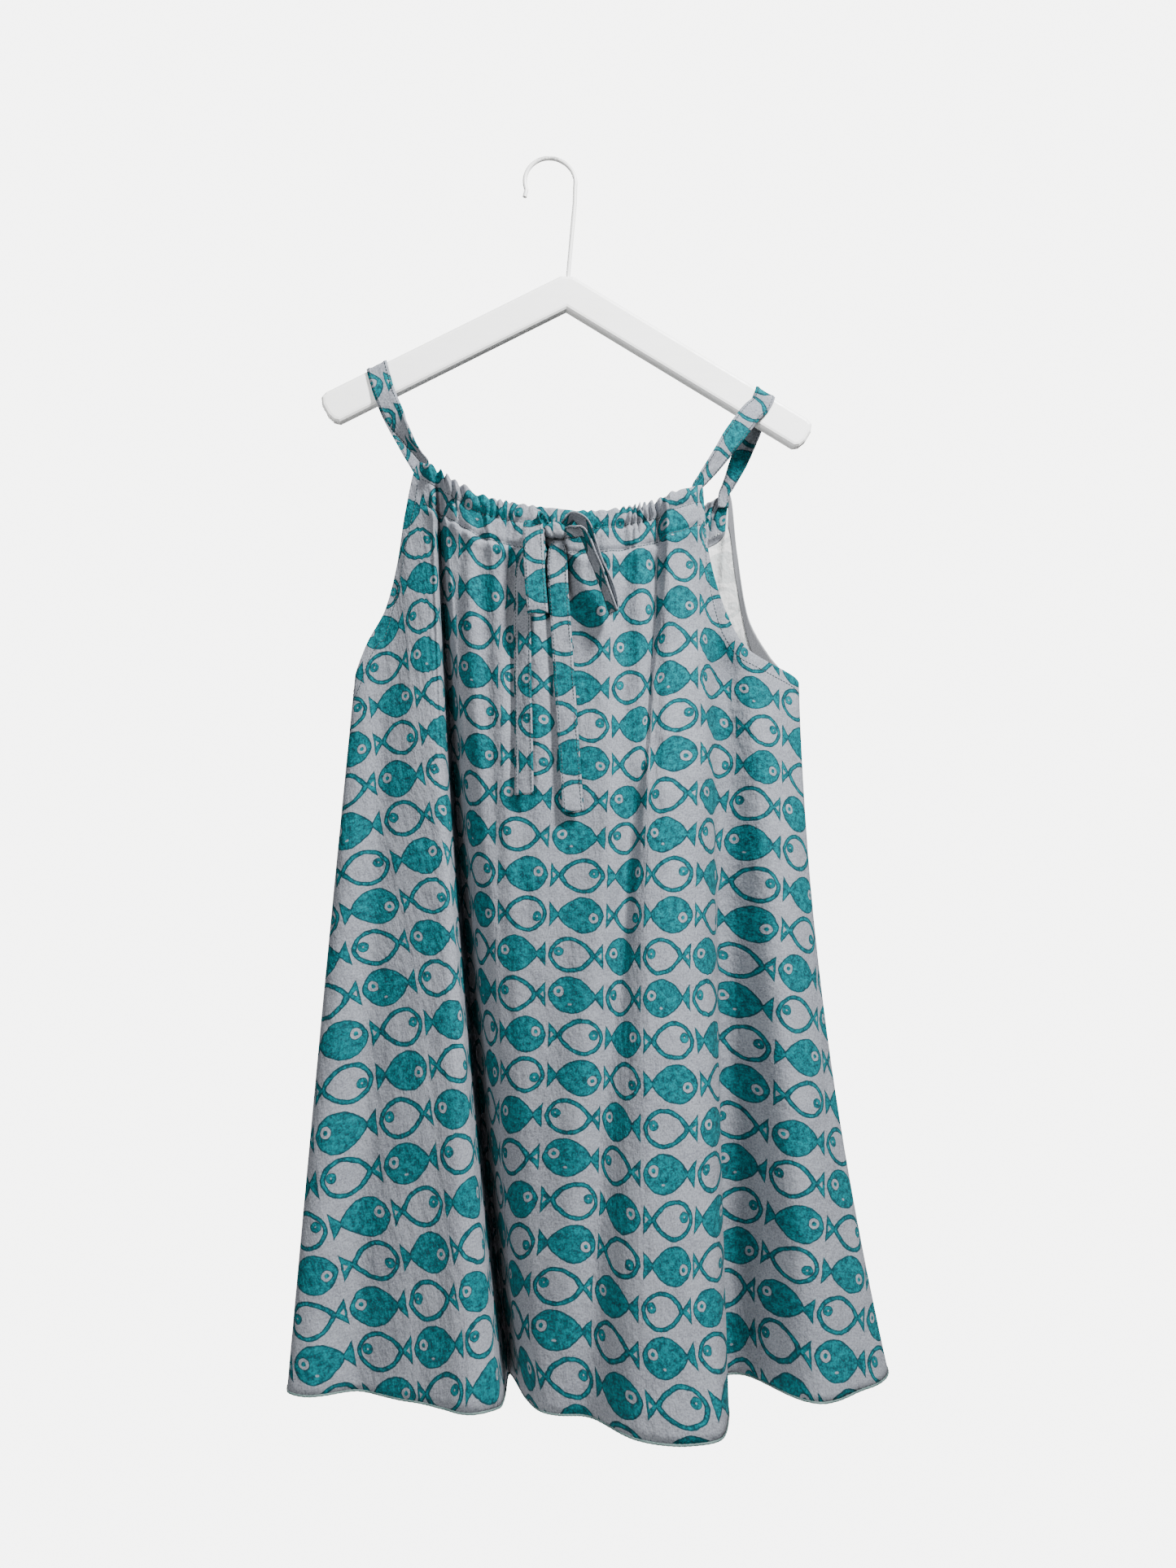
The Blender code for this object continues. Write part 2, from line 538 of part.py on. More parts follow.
hook_foot, hook_lead = hook()
bore(body, hook_foot, hook_lead)
print("crown of the hanger", np.round(crown / MM, 1))
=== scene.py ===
# %% [markdown]
# # A trapeze dress on a hanger
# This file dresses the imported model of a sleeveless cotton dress. The solids
# give the hang of the cloth; here each one becomes thin printed cotton with
# its gathers, creases, seams and thread. Sizes are metres, +Z is up and the
# front of the dress faces -Y.

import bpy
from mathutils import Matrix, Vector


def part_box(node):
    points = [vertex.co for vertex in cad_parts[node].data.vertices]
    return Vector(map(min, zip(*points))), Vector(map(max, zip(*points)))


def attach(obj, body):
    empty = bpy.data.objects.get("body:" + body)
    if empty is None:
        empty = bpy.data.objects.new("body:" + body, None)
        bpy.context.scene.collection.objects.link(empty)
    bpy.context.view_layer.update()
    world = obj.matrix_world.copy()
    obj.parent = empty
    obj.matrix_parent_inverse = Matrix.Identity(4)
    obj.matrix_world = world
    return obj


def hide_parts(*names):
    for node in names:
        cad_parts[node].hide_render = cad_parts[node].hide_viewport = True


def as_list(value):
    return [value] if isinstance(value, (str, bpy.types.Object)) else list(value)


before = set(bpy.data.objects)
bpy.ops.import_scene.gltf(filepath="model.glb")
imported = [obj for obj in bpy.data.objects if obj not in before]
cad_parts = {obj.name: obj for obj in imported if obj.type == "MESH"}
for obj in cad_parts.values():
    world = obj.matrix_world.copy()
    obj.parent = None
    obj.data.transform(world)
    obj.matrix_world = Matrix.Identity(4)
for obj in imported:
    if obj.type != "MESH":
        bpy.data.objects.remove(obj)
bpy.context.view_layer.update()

# %% Modules and small helpers
import math
import bpy
import numpy as np
from mathutils import Vector

MM = 0.001
CASING, CORD_SEAM = 38 * MM, 16 * MM   # stitch lines below the neck edge


def deselect():
    """Operators act on all that is selected, so each step starts with nothing."""
    for chosen in list(bpy.context.selected_objects):
        chosen.select_set(False)


def make_active(obj):
    deselect()
    obj.select_set(True)
    bpy.context.view_layer.objects.active = obj


def apply_all(obj):
    """Applies the modifiers of obj in order."""
    make_active(obj)
    for modifier in list(obj.modifiers):
        bpy.ops.object.modifier_apply(modifier=modifier.name)


def smooth(obj):
    obj.data.polygons.foreach_set("use_smooth", [True] * len(obj.data.polygons))


def new_grid(name, columns, rows):
    """A flat grid, like cloth on a table: (its object, its points)."""
    deselect()
    bpy.ops.mesh.primitive_grid_add(x_subdivisions=columns, y_subdivisions=rows, size=1.0)
    grid = bpy.context.object
    grid.name = grid.data.name = name
    return grid, read_points(grid)


def read_points(obj):
    co = np.empty(len(obj.data.vertices) * 3)
    obj.data.vertices.foreach_get("co", co)
    return co.reshape(-1, 3)


def move_points(obj, place):
    obj.data.vertices.foreach_set("co", place.ravel())


def corner_points(obj):
    """The number of the point at each corner of each face."""
    corners = np.empty(len(obj.data.loops), int)
    obj.data.loops.foreach_get("vertex_index", corners)
    return corners


def write_cloth_uv(obj, uv):
    """Stores where on the roll of cloth each point was cut, in metres."""
    layer = obj.data.uv_layers[0]
    layer.name = "cloth"
    layer.data.foreach_set("uv", uv[corner_points(obj)].ravel())


def give_wall(obj, wall):
    """A wall of even thickness, half on each side of the surface."""
    skin = obj.modifiers.new("wall", 'SOLIDIFY')
    skin.thickness = wall
    skin.offset = 0.0
    return skin


def edit_all(obj, operator, **settings):
    """Runs one edit mode operator on all of obj."""
    make_active(obj)
    bpy.ops.object.mode_set(mode='EDIT')
    bpy.ops.mesh.select_all(action='SELECT')
    operator(**settings)
    bpy.ops.object.mode_set(mode='OBJECT')


def unit(vectors):
    return vectors / np.linalg.norm(vectors, axis=1)[:, None]


# %% [markdown]
# ## The camera
# The photo was taken a little above one metre in front of the dress, slightly
# to its left and looking up a few degrees. A camera has to stand where the
# photographer stood, because the folds that come forward look larger.

# %% Camera at the place of the photographer
CAMERA_AT = Vector((-0.0448, -1.075, -0.6692))
YAW, PITCH = math.radians(4.3), math.radians(4.0)
lens_data = bpy.data.cameras.new("photo_camera")
lens_data.sensor_width = 36.0
lens_data.lens = 27.05
camera = bpy.data.objects.new("photo_camera", lens_data)
bpy.context.scene.collection.objects.link(camera)
camera.location = CAMERA_AT
camera.rotation_euler = (math.pi / 2 + PITCH, 0.0, -YAW)
bpy.context.scene.camera = camera
print("the camera stands at", tuple(CAMERA_AT))

# %% [markdown]
# ## How the cloth hangs
# A hanging panel is set by three curves: its top edge (armhole, neck,
# armhole), its section at the waist and its hem. Each row below is one fold or
# edge, so the whole drape can be changed by moving a few numbers. The curves
# pass through the rows without overshooting, which keeps a fold where it is.

# %% Tables of the folds, in millimetres
WAIST_Z, HEM_Z = -700 * MM, -1123 * MM
#    name              top x, y, z              waist x, y        hem x, y
FRONT = (
    ("seam_left",      -176.5, 6.0, -501.0,    -193.9, 10.0,    -227.0, 14.0),
    ("side_left",      -176.5, 3.0, -500.0,    -193.9, 6.5,     -227.0, 9.5),
    ("turn_left",      -175.4, -4.0, -495.5,   -191.6, -4.0,    -225.0, -4.0),
    ("armhole_low_l",  -165.8, -8.5, -469.5,   -178.9, -12.0,   -205.0, -15.0),
    ("armhole_mid_l",  -148.3, -12.5, -436.5,  -158.8, -13.0,   -168.3, -9.5),
    ("armhole_high_l", -137.3, -18.0, -393.0,  -132.9, -22.0,   -116.4, -31.8),
    ("armhole_top_l",  -130.8, -24.0, -351.0,  -111.5, -34.0,   -91.0, -49.0),
    ("corner_left",    -118.5, -29.0, -306.5,  -92.7, -42.0,    -66.2, -58.0),
    ("fold_edge_l",    -108.3, -36.0, -311.5,   -86.0, -39.0,    -41.0, -45.0),
    ("fold_floor_l",   -101.0, -32.0, -315.0,   -77.0, 12.0,     -33.0, 20.0),
    ("fold_wall_l",    -95.0, -40.0, -321.0,    -62.0, -36.0,    -19.5, -30.0),
    ("neck_2",         -58.2, -48.0, -343.0,   -38.6, -55.0,    -9.3, -53.4),
    ("neck_3",         -15.1, -52.0, -351.5,   -4.1, -66.0,     16.0, -73.5),
    ("neck_4",         30.3, -53.0, -355.0,    32.2, -74.0,     44.0, -94.5),
    ("neck_5",         77.1, -50.0, -348.0,    73.2, -80.0,     71.0, -109.0),
    ("crest_mid",      113.5, -43.0, -333.0,   105.5, -82.0,    103.0, -122.5),
    ("corner_right",   137.7, -32.0, -322.0,   130.2, -68.0,    132.0, -113.0),
    ("armhole_top_r",  141.5, -32.5, -370.5,   142.5, -46.0,    146.5, -78.0),
    ("fold_floor_r",   152.7, -30.0, -418.5,   155.0, -16.0,    160.0, -8.0),
    ("crest_right",    180.2, -23.0, -470.5,   191.5, -37.0,    234.0, -54.0),
    ("turn_right",     230.5, -6.0, -496.0,    241.5, -6.0,     305.5, -6.0),
    ("side_right",     234.0, 2.0, -499.5,     244.5, 6.5,      308.6, 9.5),
    ("seam_right",     234.0, 5.0, -500.5,     244.5, 10.0,     308.6, 14.0),
)
BACK = (
    ("seam_left",      -176.5, 6.0, -501.0,    -193.9, 10.0,    -227.0, 14.0),
    ("side_left",      -176.5, 9.0, -500.0,    -193.9, 13.5,    -227.0, 18.5),
    ("turn_left",      -175.0, 16.0, -495.0,   -191.6, 24.0,    -225.0, 31.0),
    ("armhole_low_l",  -162.0, 22.0, -466.0,   -172.0, 34.0,    -194.0, 47.0),
    ("armhole_mid_l",  -141.0, 27.0, -425.0,   -143.0, 30.0,    -150.0, 27.0),
    ("armhole_top_l",  -127.0, 30.0, -370.0,   -112.0, 38.0,    -100.0, 52.0),
    ("corner_left",    -113.0, 30.0, -314.0,   -76.0, 33.0,     -52.0, 32.0),
    ("neck_1",         -60.0, 35.0, -336.0,    -34.0, 41.0,     -6.0, 53.0),
    ("neck_2",         0.0, 38.0, -345.0,      8.0, 35.0,       40.0, 30.0),
    ("neck_3",         62.0, 38.0, -344.0,     60.0, 42.0,      92.0, 54.0),
    ("neck_4",         122.0, 35.0, -332.0,    118.0, 36.0,     142.0, 32.0),
    ("corner_right",   175.0, 30.0, -308.5,    162.0, 41.0,     196.0, 53.0),
    ("armhole_top_r",  182.5, 29.5, -366.0,    188.0, 35.0,     240.0, 33.0),
    ("armhole_mid_r",  191.0, 26.0, -427.0,    214.0, 34.0,     272.0, 45.0),
    ("armhole_low_r",  210.5, 19.0, -469.0,    234.0, 29.0,     297.0, 39.0),
    ("turn_right",     231.5, 13.0, -495.0,    242.6, 22.0,     306.5, 30.0),
    ("side_right",     234.0, 8.0, -499.0,     244.5, 13.5,     308.6, 18.5),
    ("seam_right",     234.0, 5.0, -500.5,     244.5, 10.0,     308.6, 14.0),
)
print(len(FRONT), "rows in front,", len(BACK), "behind")


# %% A curve that never overshoots its rows
def monotone(knots, values, at):
    """Smooth curve through rows of values, without overshoot."""
    knots, values, at = (np.asarray(a, float) for a in (knots, values, at))
    step = np.diff(knots)[:, None]
    slope = np.diff(values, axis=0) / step
    inner = slope[:-1] * slope[1:]
    w1 = 2 * step[1:] + step[:-1]
    w2 = step[1:] + 2 * step[:-1]
    safe = np.where(inner > 0, inner, 1.0)
    mean = (w1 + w2) * safe / (w1 * np.where(inner > 0, slope[1:], 1.0)
                               + w2 * np.where(inner > 0, slope[:-1], 1.0))
    tangent = np.vstack([slope[:1], np.where(inner > 0, mean, 0.0), slope[-1:]])
    cell = np.clip(np.searchsorted(knots, at, side="right") - 1, 0, len(knots) - 2)
    width = step[cell]
    u = ((at - knots[cell]) / width[:, 0])[:, None]
    return ((1 + 2 * u) * (1 - u) ** 2 * values[cell]
            + u * (1 - u) ** 2 * width * tangent[cell]
            + u * u * (3 - 2 * u) * values[cell + 1]
            + u * u * (u - 1) * width * tangent[cell + 1])


def soft_step(x):
    x = np.clip(x, 0.0, 1.0)
    return x * x * (3 - 2 * x)


def hump(x, centre, width):
    return np.exp(-((x - centre) / width) ** 2)


def ripple(along, turns, start):
    """A wave that turns so many times from one end to the other."""
    return np.sin(2 * np.pi * turns * along + start)


# %% [markdown]
# ## Gathers and creases
# The drawstring bunches the neck edge into tight puckers near both straps and
# leaves it calmer in the middle. Below the casing only soft long folds stay.
# A few sharper creases are laid one by one, each along its own line.

# %% Creases laid one by one
# Each crease: the points (x, z) that it runs through from top to bottom,
# how wide and how deep it is at the top and at the bottom. Millimetres.
FRONT_CREASES = (
    (((-80, -352), (-79.5, -375), (-79, -450), (-72, -540)), 4.0, 8.0, 4.2, 0.0),
    (((-31, -385), (-30.6, -446), (-26, -620)), 5.0, 11.0, 4.0, 0.0),
    (((96, -340), (94, -450), (84, -560), (74, -650)), 4.0, 9.0, 4.0, 1.0),
    (((74, -590), (63, -700), (50, -830), (40, -960), (33, -1123)), 10.0, 20.0, 9.0, 17.0),
    (((62, -372), (60, -470), (48, -640)), 6.0, 12.0, 3.0, 0.0),
    (((124, -372), (128, -470), (134, -640)), 5.0, 9.0, 3.4, 0.0),
    (((8, -520), (6, -700), (2, -900), (-2, -1123)), 14.0, 20.0, 1.4, 3.0),
    (((-150, -520), (-158, -760), (-166, -1123)), 10.0, 16.0, 1.6, 3.0),
    (((-104, -620), (-100, -800), (-96, -1123)), 12.0, 18.0, 1.2, 3.2),
    (((160, -470), (168, -600), (172, -767), (176, -938), (178, -1123)), 14.0, 23.0, 9.0, 19.0),
    (((232, -640), (252, -860), (270, -1123)), 9.0, 14.0, 1.4, 2.4),
)
BACK_CREASES = (
    (((-84, -330), (-76, -420), (-62, -600)), 5.0, 10.0, 4.5, 0.0),
    (((-22, -345), (-20, -470), (-14, -760)), 6.0, 14.0, 4.0, 0.5),
    (((40, -348), (44, -520), (60, -860)), 6.0, 16.0, 4.0, 0.8),
    (((95, -345), (100, -450), (108, -640)), 5.0, 11.0, 4.4, 0.0),
    (((146, -330), (148, -430), (150, -560)), 5.0, 9.0, 4.0, 0.0),
    (((-120, -560), (-126, -800), (-124, -1123)), 9.0, 12.0, 1.4, 1.6),
    (((200, -560), (216, -800), (250, -1123)), 9.0, 13.0, 1.6, 1.6),
)

# A ledge is a crease with one side folded over the other: the points (x, z)
# along its edge, its height at top and bottom, and how far it dies out to the
# right and to the left. Millimetres.
FRONT_LEDGES = (
    (((100.5, -334), (100, -399), (95, -442), (88, -499), (84, -554), (76, -628),
      (69, -693), (58, -827)), 7.5, 1.5, 34.0, 14.0),
)
BACK_LEDGES = (
    (((-52, -338), (-48, -450), (-36, -620), (-26, -820)), 5.5, 1.0, 26.0, 12.0),
    (((118, -334), (120, -460), (132, -640)), 4.5, 1.0, 22.0, 10.0),
)


# %% Sizes that all creases, ledges and casing seams share
# A crease starts and ends softly, and the cloth beside it stands up in two
# banks. Their place and width are counted in widths of the crease.
CREASE_ABOVE, CREASE_START, CREASE_END = 12 * MM, 34 * MM, 90 * MM
BANK_AT, BANK_WIDE, BANK_RIGHT, BANK_LEFT = 1.9, 1.2, 0.42, 0.30
LEDGE_END, LEDGE_EDGE, LEDGE_DIP = 120 * MM, 1.0 * MM, 0.6
CORNER_EASE = 0.05                              # gathers fade in past each neck corner
CORD_GROOVE, CASING_GROOVE, GROOVE_WIDE = 1.2 * MM, 3.0 * MM, 2.5 * MM
PUFF_HIGH, PUFF_BELOW, PUFF_WIDE = 2.0 * MM, 7 * MM, 6 * MM


# %% A panel as a function of where you are on it
class Panel:
    """share runs 0 to 1 from the left seam to the right one, drop from the
    top edge to the hem. points() gives the place in space."""

    def __init__(self, rows, side, gathers, creases, ledges, seam_shift, clusters):
        names = [row[0] for row in rows]
        table = np.array([row[1:] for row in rows]) * MM
        self.top, self.waist, self.hem = table[:, 0:3], table[:, 3:5], table[:, 5:7]
        for end in (0, -1):
            for edge in (self.top, self.waist, self.hem):
                edge[end, 1] += seam_shift
        steps = sum(np.linalg.norm(np.diff(edge, axis=0), axis=1)
                    for edge in (self.top, self.waist, self.hem))
        self.share = np.concatenate([[0.0], np.cumsum(steps)]) / steps.sum()
        self.neck = (self.share[names.index("corner_left")],
                     self.share[names.index("corner_right")])
        self.side, self.gathers = side, gathers
        self.creases, self.ledges, self.clusters = creases, ledges, clusters

    def edge(self, share):
        return monotone(self.share, self.top, share)

    def plain(self, share, drop):
        """The drape without gathers, eased from top edge to waist to hem."""
        top = self.edge(share)
        waist = monotone(self.share, self.waist, share)
        hem = monotone(self.share, self.hem, share)
        z = top[:, 2] + (HEM_Z - top[:, 2]) * drop
        reach = (z - top[:, 2]) / (HEM_Z - top[:, 2])
        knee = (WAIST_Z - top[:, 2]) / (HEM_Z - top[:, 2])
        first = (waist - top[:, :2]) / knee[:, None]
        last = (hem - waist) / (1 - knee)[:, None]
        middle = first * (1 - knee)[:, None] + last * knee[:, None]
        out = np.empty((len(share), 3))
        for upper in (True, False):
            base, end = (top[:, :2], waist) if upper else (waist, hem)
            t0, t1 = (2 * first - middle, middle) if upper else (middle, 2 * last - middle)
            start = np.zeros_like(knee) if upper else knee
            width = knee if upper else 1 - knee
            u = np.clip((reach - start) / width, 0, 1)[:, None]
            w = width[:, None]
            value = ((1 + 2 * u) * (1 - u) ** 2 * base + u * (1 - u) ** 2 * w * t0
                     + u * u * (3 - 2 * u) * end + u * u * (u - 1) * w * t1)
            mine = (reach <= knee) if upper else (reach > knee)
            out[mine, :2] = value[mine]
        out[:, 2] = z
        return out

    def across_neck(self, share):
        """0 to 1 from corner to corner of the neck, by width."""
        left, right = self.edge(np.array(self.neck))[:, 0]
        return (self.edge(share)[:, 0] - left) / (right - left)

    def long_folds(self, along, down):
        g = self.gathers
        sway = 0.16 * ripple(along, 2.3, 0.7)
        coarse = np.sin(2 * np.pi * (g["folds"] * along + 2 * sway) + 0.9)
        fall = soft_step(down / (60 * MM)) * np.exp(-(down / g["fold_reach"]) ** 2)
        return g["fold_height"] * coarse * fall

    def puckers(self, along, down):
        """Tight gathers over the drawstring: (outward lift, lift of the edge).
        Ridges are round and the gaps between them sharp; where the cloth is
        crowded they lie closer and stand higher."""
        g = self.gathers
        crowd, waves = 0.30, g["count"] * along
        for centre, width, size, extra in self.clusters:
            crowd = crowd + size * hump(along, centre, width)
            waves = waves + extra * 0.5 * (1 + np.tanh((along - centre) / (0.75 * width)))
        drift = 0.45 * ripple(along, 2.7, 0.4) + 0.30 * ripple(along, 6.3, 2.0)
        lean = 0.9 * ripple(along, 3.1, 1.3) * down / (30 * MM)
        phase = np.pi * (waves + drift + lean)
        ridge = 2 * np.abs(np.sin(phase)) ** 0.7 - 1
        reach = (23 + 8 * ripple(along, 9.7, 0.0) + 6 * ripple(along, 17.3, 1.0)) * MM
        second = np.sin(2.6 * phase + 6.0 * down / (20 * MM))
        fall = np.exp(-(down / reach) ** 2)
        trail = 0.26 * hump(down, CASING, 26 * MM) * np.sin(0.7 * phase + 1.5 * lean)
        roll = 2.2 * MM * np.sin(np.pi * np.clip(down / CORD_SEAM, 0, 1)) * (0.3 + 0.7 * crowd)
        lift = g["height"] * crowd * ((0.85 * ridge + 0.22 * second) * fall + trail) + roll
        edge = (1.2 * MM * crowd * (0.3 * second - 0.8 * np.cos(2 * phase))
                * np.exp(-(down / (7 * MM)) ** 2))
        return lift, edge

    def crease_depth(self, x, z):
        """How far the creases push the cloth in, at a place on the panel."""
        total = np.zeros_like(x)
        for line, wide0, wide1, deep0, deep1 in self.creases:
            line = np.array(line) * MM
            run = np.clip((line[0, 1] - z) / (line[0, 1] - line[-1, 1]), 0, 1)
            centre = np.interp(-z, -line[:, 1], line[:, 0])
            width = (wide0 + (wide1 - wide0) * run) * MM
            depth = (deep0 + (deep1 - deep0) * run) * MM
            start = soft_step((line[0, 1] + CREASE_ABOVE - z) / CREASE_START)
            end = soft_step((z - line[-1, 1]) / CREASE_END) if line[-1, 1] > HEM_Z else 1.0
            away = (x - centre) / width
            banks = BANK_RIGHT * hump(away, BANK_AT, BANK_WIDE) \
                + BANK_LEFT * hump(away, -BANK_AT, BANK_WIDE)
            total += depth * start * end * (hump(away, 0.0, 1.0) - banks)
        return total

    def ledge_height(self, x, z):
        """How far the folded-over sides stand proud at a place."""
        total = np.zeros_like(x)
        for line, high0, high1, reach_right, reach_left in self.ledges:
            line = np.array(line) * MM
            run = np.clip((line[0, 1] - z) / (line[0, 1] - line[-1, 1]), 0, 1)
            away = x - np.interp(-z, -line[:, 1], line[:, 0])
            high = (high0 + (high1 - high0) * run) * MM
            high = high * soft_step((z - line[-1, 1]) / LEDGE_END)
            over = 0.5 * (1 + np.tanh(away / LEDGE_EDGE))
            rise = over * np.exp(-np.maximum(away, 0) / (reach_right * MM))
            dip = (1 - over) * np.exp(np.minimum(away, 0) / (reach_left * MM))
            total += high * (rise - LEDGE_DIP * dip)
        return total

    def points(self, share, drop, fine=True):
        share, drop = np.asarray(share, float), np.asarray(drop, float)
        base = self.plain(share, drop)
        down = self.edge(share)[:, 2] - base[:, 2]
        left, right = self.neck
        along = (share - left) / (right - left)
        window = soft_step(along / CORNER_EASE) * soft_step((1 - along) / CORNER_EASE)
        lift = window * self.long_folds(along, down)
        if fine:
            pucker, edge = self.puckers(self.across_neck(share), down)
            lift = lift + window * pucker
            base[:, 2] += window * edge
            lift = lift - self.crease_depth(base[:, 0], base[:, 2])
            lift = lift + window * self.ledge_height(base[:, 0], base[:, 2])
            for seam, deep in ((CORD_SEAM, CORD_GROOVE), (CASING, CASING_GROOVE)):
                lift -= window * deep * hump(down, seam, GROOVE_WIDE)
            lift += window * PUFF_HIGH * hump(down, CASING + PUFF_BELOW, PUFF_WIDE)
        base[:, 1] += self.side * lift
        return base


# %% The two panels
# Crowded stretches of the neck: middle and width along it, how crowded the
# cloth is there, and how many extra waves it takes in.
FRONT_CROWDS = ((0.12, 0.12, 1.1, 3), (0.32, 0.07, 0.35, 2), (0.62, 0.06, 0.2, 1),
                (0.79, 0.085, 1.4, 4))
BACK_CROWDS = ((0.14, 0.12, 0.8, 5), (0.42, 0.14, 0.4, 3), (0.66, 0.10, 0.4, 2),
               (0.90, 0.09, 0.9, 4))
SEAM_APART = 0.05 * MM                          # each panel's share of the gap at the seam
FRONT_GATHERS = dict(count=19, height=3.3 * MM, folds=9, fold_height=2.4 * MM,
                     fold_reach=330 * MM)
BACK_GATHERS = dict(count=22, height=3.0 * MM, folds=8, fold_height=2.4 * MM,
                    fold_reach=300 * MM)
front = Panel(FRONT, -1, FRONT_GATHERS, FRONT_CREASES, FRONT_LEDGES, -SEAM_APART, FRONT_CROWDS)
back = Panel(BACK, 1, BACK_GATHERS, BACK_CREASES, BACK_LEDGES, SEAM_APART, BACK_CROWDS)
print("neck of the front spans shares", front.neck)

# %% [markdown]
# ## Flat pattern and print
# Printed cloth keeps its print square to its threads, so each panel needs a
# map back to the flat cloth it was cut from. A coarse copy of the drape is
# unwrapped with least stretch and scaled to its real size. The fine cloth then
# reads its place on the roll from that copy.


# %% Unwrap a coarse copy of a panel
def total_length(grid):
    """Length of all the rows and columns of a grid of points."""
    return sum(np.linalg.norm(np.diff(grid, axis=way), axis=2).sum() for way in (0, 1))


def flat_pattern(panel, columns=72, rows=48, clear_row=4):
    """Cloth coordinates in metres on a grid of shares and drops. The first
    rows curve with the neck, so the way down is read from clear_row on."""
    plan, co = new_grid("plan", columns, rows)
    share, drop = co[:, 0] + 0.5, 0.5 - co[:, 1]
    space = panel.points(share, drop, fine=False)
    move_points(plan, space)
    plan.data.update()
    edit_all(plan, bpy.ops.uv.unwrap, method='MINIMUM_STRETCH', iterations=40, margin=0.0)
    uv = np.empty(len(plan.data.loops) * 2)
    plan.data.uv_layers.active.data.foreach_get("uv", uv)
    flat = np.zeros((len(plan.data.vertices), 2))
    flat[corner_points(plan)] = uv.reshape(-1, 2)
    order = np.lexsort((np.round(share, 5), np.round(drop, 5)))
    across = len(np.unique(np.round(share, 5)))
    grid = flat[order].reshape(-1, across, 2)
    place = space[order].reshape(-1, across, 3)
    bpy.data.objects.remove(plan, do_unlink=True)
    grid = grid * total_length(place) / total_length(grid)
    middle, halfway = across // 2, grid.shape[0] // 2
    fall = grid[-1, middle] - grid[clear_row, middle]
    turn = math.atan2(fall[0], -fall[1])
    # The middle line ends a few degrees off upright, and the flat size counts that in.
    grid = grid @ np.array([[math.cos(turn), math.sin(turn)],
                            [-math.sin(turn), math.cos(turn)]])
    if grid[-1, middle, 1] > grid[0, middle, 1]:
        grid = -grid
    if grid[halfway, -1, 0] < grid[halfway, 0, 0]:
        grid[:, :, 0] *= -1
    grid -= grid[0, middle]
    size = np.ptp(grid.reshape(-1, 2), axis=0)
    print("flat pattern %.3f x %.3f m" % tuple(size))
    return grid


def read_flat(grid, share, drop):
    """Cloth coordinates between the points of the coarse grid."""
    r = np.clip(drop, 0, 1) * (grid.shape[0] - 1)
    c = np.clip(share, 0, 1) * (grid.shape[1] - 1)
    r0 = np.minimum(r.astype(int), grid.shape[0] - 2)
    c0 = np.minimum(c.astype(int), grid.shape[1] - 2)
    a, b = (r - r0)[:, None], (c - c0)[:, None]
    return ((1 - a) * (1 - b) * grid[r0, c0] + (1 - a) * b * grid[r0, c0 + 1]
            + a * (1 - b) * grid[r0 + 1, c0] + a * b * grid[r0 + 1, c0 + 1])


front_flat = flat_pattern(front)
back_flat = flat_pattern(back)


# %% Where the fish of the photo sit on the front
# The repeat is charted one fish at a time. Each line is one row of the print; in it: column
# of the repeat, then how many pixels across and down the photo the middle of
# that fish is seen.
PHOTO_WIDE, PHOTO_TALL = 1445, 1927
FISH_SEEN = {
    9: ((-7, 469, 777), (-6, 519, 754), (-5, 548, 765), (-4, 589, 777), (-3, 637, 790),
        (-2, 716, 799), (-1, 775, 799), (0, 825, 785), (1, 873, 792), (2, 926, 808)),
    6: ((-7, 493, 906), (-4, 589, 922), (-2, 724, 938), (-1, 783, 940), (0, 825, 926),
        (1, 881, 936), (2, 937, 942)),
    3: ((-8, 448, 1067), (-7, 520, 1052), (-4, 589, 1069), (-3, 648, 1074), (-2, 715, 1076),
        (-1, 776, 1076), (0, 824, 1074), (1, 877, 1078), (2, 929, 1087), (3, 988, 1100)),
    0: ((-7, 538, 1202), (-3, 632, 1222), (-2, 703, 1222), (-1, 763, 1227), (0, 814, 1227),
        (1, 869, 1227), (2, 907, 1229), (3, 979, 1247)),
    -4: ((-9, 424, 1447), (-8, 500, 1430), (-7, 566, 1418), (-3, 628, 1423), (-2, 698, 1422),
         (-1, 756, 1434), (0, 818, 1444), (1, 877, 1440), (2, 908, 1429), (3, 971, 1449),
         (4, 1037, 1462)),
    -6: ((-3, 637, 1525), (-2, 704, 1528), (-1, 760, 1546), (0, 829, 1557), (1, 877, 1553),
         (2, 908, 1531), (3, 974, 1553), (4, 1045, 1566)),
    -8: ((-10, 390, 1677), (-9, 468, 1661), (-8, 534, 1655), (-7, 596, 1641), (-3, 634, 1622),
         (-2, 683, 1634), (-1, 750, 1651), (0, 818, 1670), (1, 881, 1660), (2, 902, 1640),
         (3, 953, 1643), (4, 1029, 1673)),
}
SIGHT_RADIUS = 2.5                               # pixels round a line of sight
SIGHT_DEPTH = 6 * MM                             # cloth this close behind the nearest counts
SIGHT_COLUMNS, SIGHT_ROWS = 801, 601             # points of the panel that are looked at
CELL_WIDE, CELL_TALL = 50.0 * MM, 34.7 * MM      # one cell of the repeat
BODY_AHEAD = 4.5 * MM                            # a body lies this far towards its head


# Cloth that a deep fold swallows: the points (x, z) of the fold, how wide it
# is, and how much it takes in at its top and its bottom. Millimetres.
TUCKS = (
    (((100, -338), (95, -442), (85, -554), (76, -628), (69, -693), (58, -827), (50, -956),
      (45, -1073)), 9.0, 8.0, 21.0),
)


